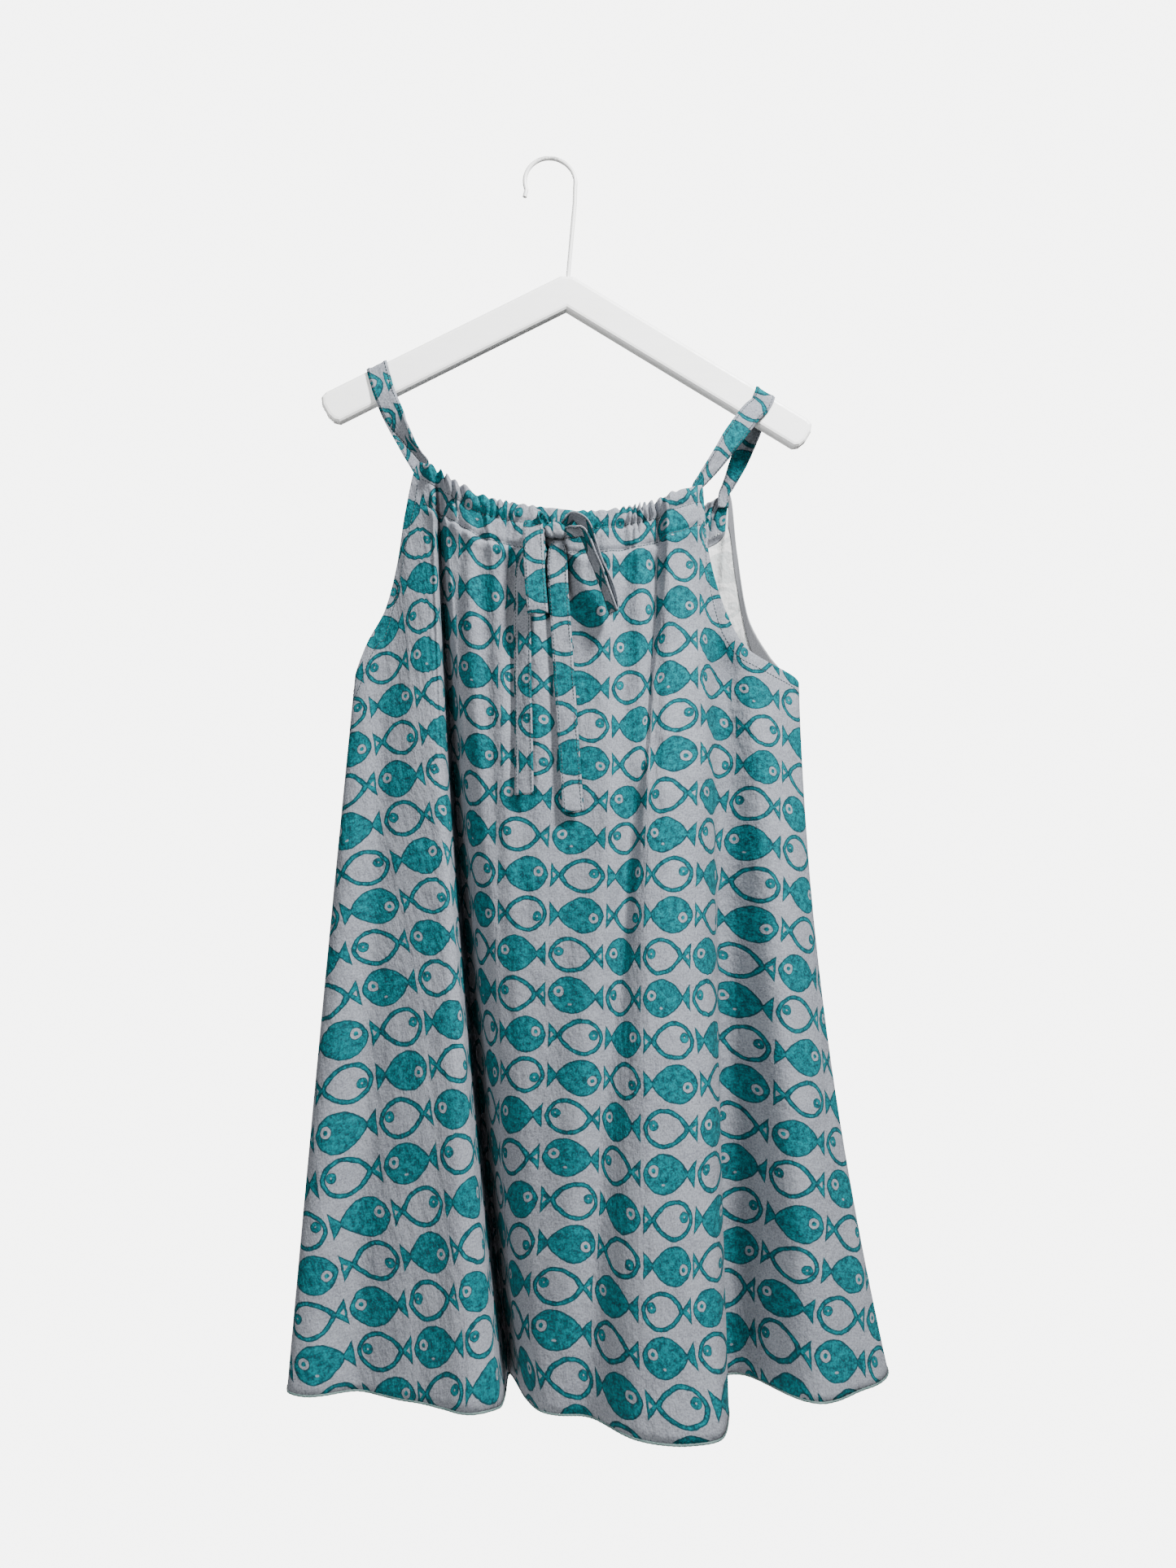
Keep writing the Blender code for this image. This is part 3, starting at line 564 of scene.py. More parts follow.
def swallowed(x, z):
    """Cloth hidden in the folds to the left of a place."""
    total = np.zeros_like(x)
    for line, wide, taken0, taken1 in TUCKS:
        line = np.array(line) * MM
        run = np.clip((line[0, 1] - z) / (line[0, 1] - line[-1, 1]), 0, 1)
        centre = np.interp(-z, -line[:, 1], line[:, 0])
        total += (taken0 + (taken1 - taken0) * run) * MM * 0.5 \
            * (1 + np.tanh((x - centre) / (wide * MM)))
    return total


def places_seen(panel, pixels):
    """Share and drop of the cloth that the camera sees at each pixel."""
    focal = lens_data.lens / lens_data.sensor_width * PHOTO_TALL
    ahead = np.array((math.sin(YAW) * math.cos(PITCH), math.cos(YAW) * math.cos(PITCH),
                      math.sin(PITCH)))
    right = np.array((math.cos(YAW), -math.sin(YAW), 0.0))
    share, drop = (grid.ravel() for grid in np.meshgrid(np.linspace(0, 1, SIGHT_COLUMNS),
                                                        np.linspace(0, 1, SIGHT_ROWS)))
    away = panel.points(share, drop) - np.array(CAMERA_AT)
    depth = away @ ahead
    across = PHOTO_WIDE / 2 + focal * (away @ right) / depth
    down = PHOTO_TALL / 2 - focal * (away @ np.cross(right, ahead)) / depth
    found = []
    for pixel in pixels:
        miss = np.hypot(across - pixel[0], down - pixel[1])
        near = np.flatnonzero(miss < SIGHT_RADIUS)
        near = near[depth[near] < depth[near].min() + SIGHT_DEPTH]
        found.append(near[np.argmin(miss[near])])
    return share[found], drop[found]


class PrintShift:
    """Gathers take up cloth that the smooth drape doesn't have. This bends the
    cloth coordinates a little, so that each charted fish sits where it is seen."""

    def __init__(self, panel, flat, fish_seen, give=2e-4):
        seen = [fish[1:] for row in fish_seen.values() for fish in row]
        cell = np.array([(fish[0], r) for r, row in fish_seen.items() for fish in row], float)
        share, drop = places_seen(panel, seen)
        self.panel, self.flat = panel, flat
        self.at = self.with_tucks(share, drop)
        ahead = np.where(cell[:, 1] % 4 < 2, -1, 1) * BODY_AHEAD
        off = cell * (CELL_WIDE, CELL_TALL) + np.column_stack([ahead, 0 * ahead]) - self.at
        n = len(self.at)
        system = np.zeros((n + 3, n + 3))
        system[:n, :n] = self.kernel(self.at) + np.eye(n) * give
        system[:n, n] = system[n, :n] = 1
        system[:n, n + 1:] = self.at
        system[n + 1:, :n] = self.at.T
        self.weights = np.linalg.solve(system, np.vstack([off, np.zeros((3, 2))]))

    def with_tucks(self, share, drop):
        """Cloth coordinates with the swallowed cloth counted in."""
        place = self.panel.points(share, drop, fine=False)
        out = read_flat(self.flat, share, drop)
        out[:, 0] += swallowed(place[:, 0], place[:, 2])
        return out

    def kernel(self, points):
        """Bending of a thin plate between points and the charted fish."""
        gap = np.linalg.norm(points[:, None] - self.at[None], axis=2)
        return gap ** 2 * np.log(np.maximum(gap, 1e-6))

    def moved(self, share, drop, at_once=4000):
        points = self.with_tucks(share, drop)
        n = len(self.at)
        out = points + self.weights[n] + points @ self.weights[n + 1:]
        for start in range(0, len(points), at_once):
            block = slice(start, start + at_once)
            out[block] += self.kernel(points[block]) @ self.weights[:n]
        return out


front_print = PrintShift(front, front_flat, FISH_SEEN)
print(len(front_print.at), "fish of the front are charted")

# %% [markdown]
# ## Hanging the panels
# Each panel starts as a flat grid, like cloth on a table. Its points are moved
# to where the drape puts them, more closely spaced at the gathered neck. The
# thin wall comes last, from Solidify, with the wrong side of the cloth inside.


# %% Hang a panel
def spread(t, neck, crowd=2.6, past=0.04, ease=0.05):
    """Moves even columns closer together between the two neck corners."""
    knots = np.linspace(0, 1, 401)
    weight = 1 + (crowd - 1) * soft_step((knots - neck[0] + past) / ease) \
        * soft_step((neck[1] + past - knots) / ease)
    total = np.concatenate([[0], np.cumsum(0.5 * (weight[1:] + weight[:-1]))])
    return np.interp(t, total / total[-1], knots)


def row_depths(panel, share, t, fine_part=0.25, fine_depth=52 * MM):
    """Rows lie close together over the casing and further apart below it."""
    span = panel.edge(share)[:, 2] - HEM_Z
    near = t / fine_part * fine_depth / span
    far = np.clip((t - fine_part) / (1 - fine_part), 0, 1)
    return np.where(t < fine_part, near, fine_depth / span + (1 - fine_depth / span) * far)


def hang_panel(name, panel, flat, columns, rows, bend=None, wall=0.5 * MM):
    cloth, co = new_grid(name, columns, rows)
    share = spread(co[:, 0] + 0.5, panel.neck)
    drop = row_depths(panel, share, 0.5 - co[:, 1])
    move_points(cloth, panel.points(share, drop))
    uv = read_flat(flat, share, drop) if bend is None else bend.moved(share, drop)
    write_cloth_uv(cloth, uv)
    if panel.side > 0:
        cloth.data.flip_normals()
    smooth(cloth)
    cloth.data.materials.append(None)      # right side, filled in with the materials
    cloth.data.materials.append(None)      # wrong side
    skin = give_wall(cloth, wall)
    skin.material_offset = 1
    skin.material_offset_rim = 0
    apply_all(cloth)
    print(name, len(cloth.data.polygons), "faces")
    return cloth


front_cloth = hang_panel("front_cloth", front, front_flat, 440, 104, front_print)
back_cloth = hang_panel("back_cloth", back, back_flat, 330, 104)

# %% [markdown]
# ## Materials
# The cloth is a pale grey cotton, printed with rows of fish. The print is drawn
# by formula on the cloth's own coordinates: each cell of the repeat holds one
# fish, filled or in outline by turns, and after every second row the fish swim
# the other way. It lies in a node group, so that the right side, the wrong side
# and the small strips all share it.


# %% Small helpers for building node trees
class Tree:
    """A node tree with short calls for sums, limits and mixes."""

    def __init__(self, nodes, links):
        self.nodes, self.links = nodes, links

    def node(self, kind, inputs=None, **settings):
        made = self.nodes.new(kind)
        for key, value in settings.items():
            setattr(made, key, value)
        for key, value in (inputs or {}).items():
            self.feed(made.inputs[key], value)
        return made

    def feed(self, socket, value):
        if isinstance(value, bpy.types.NodeSocket):
            self.links.new(value, socket)
        else:
            socket.default_value = value

    def sum(self, operation, *values):
        made = self.nodes.new("ShaderNodeMath")
        made.operation = operation
        for socket, value in zip(made.inputs, values):
            self.feed(socket, value)
        return made.outputs[0]

    def inside(self, amount, blur):
        """1 where amount is above zero, 0 below, soft over the blur."""
        made = self.node("ShaderNodeMath", operation='DIVIDE')
        self.feed(made.inputs[0], amount)
        made.inputs[1].default_value = blur
        shifted = self.node("ShaderNodeMath", operation='ADD', use_clamp=True)
        self.links.new(made.outputs[0], shifted.inputs[0])
        shifted.inputs[1].default_value = 0.5
        return shifted.outputs[0]

    def noise(self, vector, scale, detail=2.0, rough=0.5):
        made = self.node("ShaderNodeTexNoise", {"Vector": vector, "Scale": scale,
                                                "Detail": detail, "Roughness": rough})
        return made.outputs["Fac"]

    def mix(self, share, first, second, blend='MIX'):
        made = self.node("ShaderNodeMix", data_type='RGBA', blend_type=blend)
        self.feed(made.inputs["Factor"], share)
        self.feed(made.inputs[6], first)
        self.feed(made.inputs[7], second)
        return made.outputs[2]

    def range(self, value, low, high, to_low, to_high):
        made = self.node("ShaderNodeMapRange", {"Value": value, "From Min": low, "From Max": high,
                                                "To Min": to_low, "To Max": to_high})
        return made.outputs[0]


def new_group(name, inputs, outputs):
    group = bpy.data.node_groups.new(name, 'ShaderNodeTree')
    for title, kind in inputs:
        group.interface.new_socket(title, in_out='INPUT', socket_type=kind)
    for title, kind in outputs:
        group.interface.new_socket(title, in_out='OUTPUT', socket_type=kind)
    return group, group.nodes.new("NodeGroupInput"), group.nodes.new("NodeGroupOutput")


def new_material(name):
    made = bpy.data.materials.new(name)
    made.use_nodes = True
    shader = made.node_tree.nodes["Principled BSDF"]
    return made, Tree(made.node_tree.nodes, made.node_tree.links), shader


# %% The fish of the repeat
# Sizes in millimetres, along the fish from its middle, head first.
HEAD_AT, BODY_LONG, BODY_HALF = -24.5, 41.5, 15.9
ROUND_HEAD, SLIM_END = 0.62, 0.80          # powers of the swell: how blunt each end is
TAIL_AT, TAIL_LONG, TAIL_HALF = 13.6, 10.0, 11.4
EYE_AT, EYE_UP = -15.2, 2.4
BLUR = 0.45                                # soft edge of the printed ink


def fish_print():
    group, gin, gout = new_group("fish print", [("Cloth", 'NodeSocketVector')],
                                 [("Ink", 'NodeSocketFloat'), ("Depth", 'NodeSocketFloat')])
    t = Tree(group.nodes, group.links)
    split = t.node("ShaderNodeSeparateXYZ", {"Vector": gin.outputs["Cloth"]})
    x = t.sum('MULTIPLY', split.outputs[0], 1000.0)
    y = t.sum('MULTIPLY', split.outputs[1], 1000.0)
    hand_x = t.sum('MULTIPLY_ADD', t.noise(gin.outputs["Cloth"], 120.0, 3.0), 2.6, -1.3)
    shifted = t.node("ShaderNodeVectorMath", {0: gin.outputs["Cloth"], 1: (3.1, 7.7, 0.0)},
                     operation='ADD')
    hand_y = t.sum('MULTIPLY_ADD', t.noise(shifted.outputs[0], 130.0, 3.0), 2.6, -1.3)
    wide, tall = CELL_WIDE / MM, CELL_TALL / MM
    column = t.sum('FLOOR', t.sum('ADD', t.sum('DIVIDE', x, wide), 0.5))
    row = t.sum('FLOOR', t.sum('ADD', t.sum('DIVIDE', y, tall), 0.5))
    across = t.sum('ADD', t.sum('SUBTRACT', x, t.sum('MULTIPLY', column, wide)), hand_x)
    up = t.sum('ADD', t.sum('SUBTRACT', y, t.sum('MULTIPLY', row, tall)), hand_y)
    outlined = t.sum('FLOORED_MODULO', t.sum('ADD', column, row), 2.0)
    turn = t.sum('FLOORED_MODULO', row, 4.0)
    leftward = t.sum('LESS_THAN', turn, 1.5)
    first_row = t.sum('LESS_THAN', turn, 0.5)
    low_eye = t.sum('COMPARE', turn, 2.0, 0.25)
    way = t.sum('MULTIPLY_ADD', leftward, 2.0, -1.0)
    along = t.sum('MULTIPLY', across, way)
    high = t.sum('ABSOLUTE', up)

    ends = ROUND_HEAD + SLIM_END
    fullest = (ROUND_HEAD / ends) ** ROUND_HEAD * (SLIM_END / ends) ** SLIM_END

    def body(inset):
        """How far inside the body's edge a point lies, for a body made smaller."""
        part = t.sum('DIVIDE', t.sum('SUBTRACT', along, HEAD_AT + inset),
                     BODY_LONG - 2.35 * inset)
        part = t.sum('MINIMUM', t.sum('MAXIMUM', part, 0.0001), 0.9999)
        swell = t.sum('MULTIPLY', t.sum('POWER', part, ROUND_HEAD),
                      t.sum('POWER', t.sum('SUBTRACT', 1.0, part), SLIM_END))
        return t.sum('SUBTRACT', t.sum('MULTIPLY', swell, (BODY_HALF + 0.3 - inset) / fullest),
                     t.sum('ADD', high, 0.3))

    def wedge(start, end, half):
        """The tail: a wedge that opens backwards."""
        slope = half / (end - start)
        width = t.sum('SUBTRACT', t.sum('MULTIPLY', t.sum('SUBTRACT', along, start), slope), high)
        return t.sum('MINIMUM', width, t.sum('SUBTRACT', end, along))

    def disc(at, above, wide, tall):
        """Distance from a point, in radii of an ellipse."""
        dx = t.sum('DIVIDE', t.sum('SUBTRACT', along, at), wide)
        dy = t.sum('DIVIDE', t.sum('SUBTRACT', up, above), tall)
        return t.sum('SQRT', t.sum('ADD', t.sum('MULTIPLY', dx, dx), t.sum('MULTIPLY', dy, dy)))

    whole = t.inside(body(0.0), BLUR)
    core = t.inside(body(1.1), 1.2)
    hollow = t.inside(body(4.0), BLUR)
    lip = t.sum('MULTIPLY', outlined, t.sum('SUBTRACT', t.inside(body(3.0), 1.0), hollow))
    tail = t.inside(wedge(TAIL_AT, TAIL_AT + TAIL_LONG, TAIL_HALF), BLUR)
    tail_core = t.inside(wedge(TAIL_AT + 1.6, TAIL_AT + TAIL_LONG - 0.8, TAIL_HALF - 2.2), 1.0)
    tail_hole = t.inside(wedge(TAIL_AT + 5.0, TAIL_AT + 8.0, 2.6), BLUR)
    eye = disc(EYE_AT, t.sum('MULTIPLY_ADD', low_eye, -2 * EYE_UP, EYE_UP), 1.0, 1.0)
    ring = t.sum('MULTIPLY', t.inside(t.sum('SUBTRACT', 4.3, eye), BLUR),
                 t.inside(t.sum('SUBTRACT', eye, 1.9), BLUR))
    gill = t.sum('MULTIPLY', first_row,
                 t.inside(t.sum('SUBTRACT', 1.0, disc(-6.0, -8.2, 1.5, 0.9)), 0.6))
    pupil = t.sum('SUBTRACT', t.inside(t.sum('SUBTRACT', 4.4, eye), BLUR),
                  t.inside(t.sum('SUBTRACT', 0.7, eye), 0.45))
    filled = t.sum('MULTIPLY', t.sum('MAXIMUM', whole, tail),
                   t.sum('SUBTRACT', 1.0, t.sum('MAXIMUM', ring, gill)))
    lined = t.sum('MAXIMUM', t.sum('MAXIMUM', t.sum('SUBTRACT', whole, hollow), pupil),
                  t.sum('SUBTRACT', tail, tail_hole))
    ink = t.node("ShaderNodeMix", {0: outlined, 2: filled, 3: lined}, data_type='FLOAT')
    iris = t.sum('MULTIPLY', t.inside(t.sum('SUBTRACT', 4.9, eye), 0.8),
                 t.inside(t.sum('SUBTRACT', eye, 3.8), 0.8))
    rim = t.sum('SUBTRACT', t.sum('MAXIMUM', whole, tail), t.sum('MAXIMUM', core, tail_core))
    rim = t.sum('MAXIMUM', t.sum('MAXIMUM', rim, lip), iris)
    t.feed(gout.inputs["Ink"], ink.outputs[0])
    t.feed(gout.inputs["Depth"], rim)
    return group


FISH = fish_print()
print("print group has", len(FISH.nodes), "nodes")


# %% Threads of the cotton
def cotton_weave():
    """Slubs, flecks and height of a plain woven cotton."""
    group, gin, gout = new_group("cotton weave", [("Cloth", 'NodeSocketVector')],
                                 [("Slub", 'NodeSocketFloat'), ("Fleck", 'NodeSocketFloat'),
                                  ("Height", 'NodeSocketFloat')])
    t = Tree(group.nodes, group.links)
    warp = t.node("ShaderNodeVectorMath", {0: gin.outputs["Cloth"], 1: (1900.0, 150.0, 0.0)},
                  operation='MULTIPLY')
    weft = t.node("ShaderNodeVectorMath", {0: gin.outputs["Cloth"], 1: (130.0, 1700.0, 0.0)},
                  operation='MULTIPLY')
    a, b = t.noise(warp.outputs[0], 1.0, 2.0), t.noise(weft.outputs[0], 1.0, 2.0)
    slub = t.sum('MULTIPLY', t.sum('ADD', a, b), 0.5)
    fleck = t.noise(gin.outputs["Cloth"], 620.0, 4.0, 0.72)
    t.feed(gout.inputs["Slub"], slub)
    t.feed(gout.inputs["Fleck"], fleck)
    t.feed(gout.inputs["Height"], t.sum('ADD', slub, t.sum('MULTIPLY', fleck, 0.35)))
    return group


WEAVE = cotton_weave()

GROUND_PALE, GROUND_GREY = (0.236, 0.250, 0.277, 1.0), (0.101, 0.107, 0.128, 1.0)
INK_BRIGHT, INK_MID = (0.0, 0.152, 0.172, 1.0), (0.0, 0.030, 0.041, 1.0)
INK_DARK = (0.0, 0.014, 0.023, 1.0)


def cotton(name, strength=1.0, offset=(0.0, 0.0)):
    """Printed cotton. strength is how much of the ink shows; offset says where
    on the roll the piece was cut."""
    made, t, shader = new_material(name)
    uv = t.node("ShaderNodeUVMap", uv_map="cloth").outputs[0]
    place = t.node("ShaderNodeVectorMath", {0: uv, 1: (offset[0], offset[1], 0.0)},
                   operation='ADD').outputs[0]
    fish = t.node("ShaderNodeGroup", node_tree=FISH)
    weave = t.node("ShaderNodeGroup", node_tree=WEAVE)
    t.feed(fish.inputs["Cloth"], place)
    t.feed(weave.inputs["Cloth"], place)
    slub = t.range(weave.outputs["Slub"], 0.36, 0.64, 0.0, 1.0)
    fleck = t.range(weave.outputs["Fleck"], 0.34, 0.62, 0.0, 1.0)
    cloudy = t.noise(place, 26.0, 3.0)
    tone = t.sum('ADD', t.sum('MULTIPLY', slub, 0.25),
                 t.sum('ADD', t.sum('MULTIPLY', fleck, 0.50), t.sum('MULTIPLY', cloudy, 0.45)))
    ground = t.mix(t.range(tone, 0.25, 0.85, 0.0, 1.0), GROUND_GREY, GROUND_PALE)
    blotch = t.noise(place, 190.0, 3.0, 0.65)
    ink_tone = t.range(t.sum('ADD', t.sum('MULTIPLY', fleck, 0.5), t.sum('MULTIPLY', blotch, 1.3)),
                       0.70, 1.22, 0.0, 1.0)
    ink = t.mix(ink_tone, INK_MID, INK_BRIGHT)
    ink = t.mix(t.sum('MULTIPLY', fish.outputs["Depth"], 0.75), ink, INK_DARK)
    cover = t.sum('MULTIPLY', fish.outputs["Ink"],
                  t.range(fleck, 0.0, 1.0, 0.93 * strength, 1.0 * strength))
    if strength < 1.0:
        ground = t.mix(0.78, ground, (0.80, 0.80, 0.79, 1.0))
    t.feed(shader.inputs["Base Color"], t.mix(cover, ground, ink))
    shader.inputs["Roughness"].default_value = 0.86
    shader.inputs["Sheen Weight"].default_value = 0.01
    shader.inputs["Sheen Roughness"].default_value = 0.5
    shader.inputs["Specular IOR Level"].default_value = 0.04
    stretched = t.node("ShaderNodeVectorMath", {0: place, 1: (62.0, 21.0, 0.0)},
                       operation='MULTIPLY').outputs[0]
    creased = t.sum('ADD', t.noise(stretched, 1.0, 4.0, 0.6),
                    t.sum('MULTIPLY', t.noise(place, 140.0, 3.0), 0.3))
    soft = t.node("ShaderNodeBump", {"Height": creased, "Strength": 0.8, "Distance": 0.0040})
    bump = t.node("ShaderNodeBump", {"Height": weave.outputs["Height"], "Strength": 0.22,
                                     "Distance": 0.0005, "Normal": soft.outputs[0]})
    t.feed(shader.inputs["Normal"], bump.outputs[0])
    return made


def thread(name, light, dark):
    """Sewing thread: two shades along a fine twist."""
    made, t, shader = new_material(name)
    where = t.node("ShaderNodeTexCoord").outputs["Object"]
    twist = t.noise(where, 1400.0, 2.0)
    patch = t.noise(where, 90.0, 2.0)
    share = t.range(t.sum('ADD', twist, t.sum('MULTIPLY', patch, 0.5)), 0.5, 0.95, 0.0, 1.0)
    t.feed(shader.inputs["Base Color"], t.mix(share, dark, light))
    shader.inputs["Roughness"].default_value = 0.6
    bump = t.node("ShaderNodeBump", {"Height": twist, "Strength": 0.3, "Distance": 0.0003})
    t.feed(shader.inputs["Normal"], bump.outputs[0])
    return made


def bias_tape():
    """Grey cotton tape cut on the bias, so its threads run at a slant."""
    made, t, shader = new_material("grey bias tape")
    uv = t.node("ShaderNodeUVMap", uv_map="cloth").outputs[0]
    turned = t.node("ShaderNodeVectorRotate", {"Vector": uv, "Angle": math.radians(45)},
                    rotation_type='Z_AXIS').outputs[0]
    weave = t.node("ShaderNodeGroup", node_tree=WEAVE)
    t.feed(weave.inputs["Cloth"], turned)
    share = t.range(weave.outputs["Height"], 0.45, 0.9, 0.0, 1.0)
    t.feed(shader.inputs["Base Color"], t.mix(share, (0.085, 0.088, 0.098, 1.0),
                                              (0.19, 0.195, 0.21, 1.0)))
    shader.inputs["Roughness"].default_value = 0.82
    shader.inputs["Sheen Weight"].default_value = 0.03
    bump = t.node("ShaderNodeBump", {"Height": weave.outputs["Height"], "Strength": 0.25,
                                     "Distance": 0.0004})
    t.feed(shader.inputs["Normal"], bump.outputs[0])
    return made


def white_paint():
    """Painted wood: brush marks along the arms, faint yellowing and small scuffs."""
    made, t, shader = new_material("white paint")
    where = t.node("ShaderNodeTexCoord").outputs["Object"]
    stretched = t.node("ShaderNodeVectorMath", {0: where, 1: (18.0, 260.0, 260.0)},
                       operation='MULTIPLY').outputs[0]
    brush = t.noise(stretched, 1.0, 3.0)
    cloud = t.noise(where, 14.0, 3.0)
    scuff = t.inside(t.sum('SUBTRACT', t.noise(where, 75.0, 5.0, 0.7), 0.71), 0.05)
    base = t.mix(t.range(cloud, 0.3, 0.7, 0.0, 1.0), (0.94, 0.94, 0.92, 1.0),
                 (0.98, 0.98, 0.98, 1.0))
    base = t.mix(t.sum('MULTIPLY', scuff, 0.35), base, (0.55, 0.52, 0.48, 1.0))
    t.feed(shader.inputs["Base Color"], base)
    t.feed(shader.inputs["Roughness"], t.range(brush, 0.3, 0.7, 0.34, 0.50))
    bump = t.node("ShaderNodeBump", {"Height": brush, "Strength": 0.12, "Distance": 0.0004})
    t.feed(shader.inputs["Normal"], bump.outputs[0])
    return made


def white_wire():
    """Wire dipped in white: smooth, with worn grey at the crown of the hook."""
    made, t, shader = new_material("white wire")
    where = t.node("ShaderNodeTexCoord").outputs["Object"]
    grain = t.noise(where, 420.0, 3.0)
    height = t.node("ShaderNodeSeparateXYZ", {"Vector": where}).outputs[2]
    worn = t.sum('MULTIPLY', t.range(height, -0.004, 0.001, 0.0, 0.6),
                 t.range(grain, 0.42, 0.60, 0.0, 1.0))
    t.feed(shader.inputs["Base Color"], t.mix(worn, (0.80, 0.80, 0.79, 1.0),
                                              (0.42, 0.42, 0.42, 1.0)))
    t.feed(shader.inputs["Roughness"], t.range(grain, 0.3, 0.7, 0.24, 0.36))
    t.feed(shader.inputs["Metallic"], t.sum('MULTIPLY', worn, 0.8))
    return made


COTTON_FRONT = cotton("printed cotton, front")
COTTON_BACK = cotton("printed cotton, back", offset=(0.021, 0.012))
COTTON_INSIDE = cotton("printed cotton, wrong side", strength=0.26)
COTTON_STRIP = cotton("printed cotton, strips", offset=(0.013, 0.006))
# Dark teal thread, darkened beyond its own colour so that every seam line also paints the shade of
# its crease.
TEAL_THREAD_WITH_SEAM_SHADE = thread("teal thread darkened with seam shade", (0.018, 0.042, 0.052, 1.0), (0.005, 0.012, 0.018, 1.0))
HEM_THREAD = thread("green grey thread", (0.11, 0.17, 0.16, 1.0), (0.03, 0.06, 0.06, 1.0))
BIAS = bias_tape()
PAINT = white_paint()
WIRE = white_wire()

print(len(bpy.data.materials), "materials in the file")

for cloth, outer, node in ((front_cloth, COTTON_FRONT, "front_panel"),
                           (back_cloth, COTTON_BACK, "back_panel")):
    cloth.data.materials[0] = outer
    cloth.data.materials[1] = COTTON_INSIDE
    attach(cloth, "root")
    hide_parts(node)


# %% [markdown]
# ## Straps and ties
# Straps and ties are narrow folded strips, stitched along both edges. A strip
# is laid along a row of middle points, with the way its width points at each.
# Straps are squeezed narrow where they enter the casing, and the bow is three
# runs of one tie around a small knot.

# %% Tables of the strips
# Each row: middle x, y, z, direction of the width, and the width in mm.
STRAP_LEFT = (
    (-112.0, -30.3, -319.0,    0.70, -0.70, 0.00,    9.0),
    (-112.8, -29.8, -308.0,    0.62, -0.78, 0.04,    9.5),
    (-117.6, -27.8, -300.5,    0.42, -0.86, 0.12,    11.0),
    (-130.5, -22.0, -281.0,    0.50, -0.74, 0.24,    15.0),
    (-143.5, -15.5, -256.0,    0.80, -0.36, 0.36,    20.0),
    (-153.0, -10.5, -233.0,    0.86, -0.10, 0.45,    20.0),
    (-156.5, -8.4, -221.0,    0.88, 0.00, 0.48,    20.0),
    (-158.8, -7.9, -213.0,    0.88, 0.00, 0.48,    20.0),
    (-159.6, -6.3, -208.6,    0.88, 0.00, 0.48,    20.0),
    (-159.8, -2.8, -207.0,    0.88, 0.00, 0.48,    20.0),
    (-159.8, 2.8, -207.0,    0.88, 0.00, 0.48,    20.0),
    (-159.6, 6.3, -208.6,    0.88, 0.00, 0.48,    20.0),
    (-158.8, 7.9, -213.0,    0.88, 0.00, 0.48,    20.0),
    (-156.5, 8.4, -221.5,    0.88, 0.00, 0.48,    20.0),
    (-149.5, 12.5, -240.0,    0.88, 0.10, 0.42,    20.0),
    (-134.0, 19.5, -271.0,    0.88, 0.28, 0.30,    18.0),
    (-115.0, 26.0, -306.0,    0.96, 0.14, 0.06,    12.0),
    (-107.5, 27.2, -318.0,    0.98, 0.08, 0.00,    11.0),
    (-106.5, 27.2, -330.0,    0.98, 0.08, 0.00,    11.0),
)
STRAP_RIGHT = (
    (131.5, -31.6, -336.0,    0.91, 0.41, 0.00,    9.0),
    (132.5, -31.0, -325.5,    0.91, 0.41, -0.04,    9.5),
    (139.0, -29.2, -315.5,    0.80, 0.55, -0.10,    12.5),
    (151.0, -26.0, -299.0,    0.78, 0.56, -0.16,    17.0),
    (170.5, -19.5, -270.0,    0.84, 0.36, -0.26,    20.0),
    (190.0, -12.0, -243.5,    0.86, 0.10, -0.45,    20.0),
    (199.0, -8.4, -234.0,    0.86, 0.00, -0.51,    20.0),
    (202.2, -7.9, -227.2,    0.86, 0.00, -0.51,    20.0),
    (203.6, -6.3, -222.9,    0.86, 0.00, -0.51,    20.0),
    (204.0, -2.8, -221.0,    0.86, 0.00, -0.51,    20.0),
    (204.0, 2.8, -221.0,    0.86, 0.00, -0.51,    20.0),
    (203.6, 6.3, -222.9,    0.86, 0.00, -0.51,    20.0),
    (202.6, 7.9, -227.2,    0.86, 0.00, -0.51,    20.0),
    (200.5, 8.4, -235.0,    0.86, 0.00, -0.51,    20.0),
    (194.5, 12.5, -250.0,    0.88, -0.10, -0.40,    20.0),
    (184.5, 20.5, -277.0,    0.90, -0.26, -0.24,    18.0),
    (174.0, 26.3, -302.0,    0.97, -0.10, -0.06,    12.0),
    (169.3, 27.7, -312.0,    0.99, -0.05, 0.00,    10.0),
    (168.8, 27.7, -324.0,    0.99, -0.05, 0.00,    10.0),
)
STRAP_WIDTH, TIE_WIDTH = 20.0, 18.0
TAIL_LEFT = (
    (-6.0, -59.6, -389.0,    0.95, -0.10, -0.35,    8.0),
    (-13.5, -59.0, -392.5,    0.90, -0.10, -0.40,    14.0),
    (-22.5, -59.3, -400.0,    0.86, -0.50, -0.10,    17.0),
    (-26.0, -60.6, -430.0,    0.80, -0.60, 0.00,    18.0),
    (-25.5, -62.8, -500.0,    0.80, -0.60, 0.00,    18.0),
    (-24.5, -65.2, -560.0,    0.84, -0.54, 0.00,    18.0),
    (-24.0, -66.5, -608.0,    0.90, -0.44, 0.00,    18.0),
)
TAIL_RIGHT = (
    (5.5, -60.6, -384.6,    1.00, -0.12, 0.10,    9.0),
    (4.5, -61.2, -394.0,    1.00, -0.14, 0.06,    16.0),
    (4.5, -62.3, -408.0,    1.00, -0.14, 0.05,    18.0),
    (8.0, -66.0, -470.0,    0.97, -0.22, 0.05,    18.0),
    (12.5, -69.5, -540.0,    0.98, -0.18, 0.05,    18.0),
    (18.0, -74.0, -623.0,    0.98, -0.16, 0.05,    18.0),
)
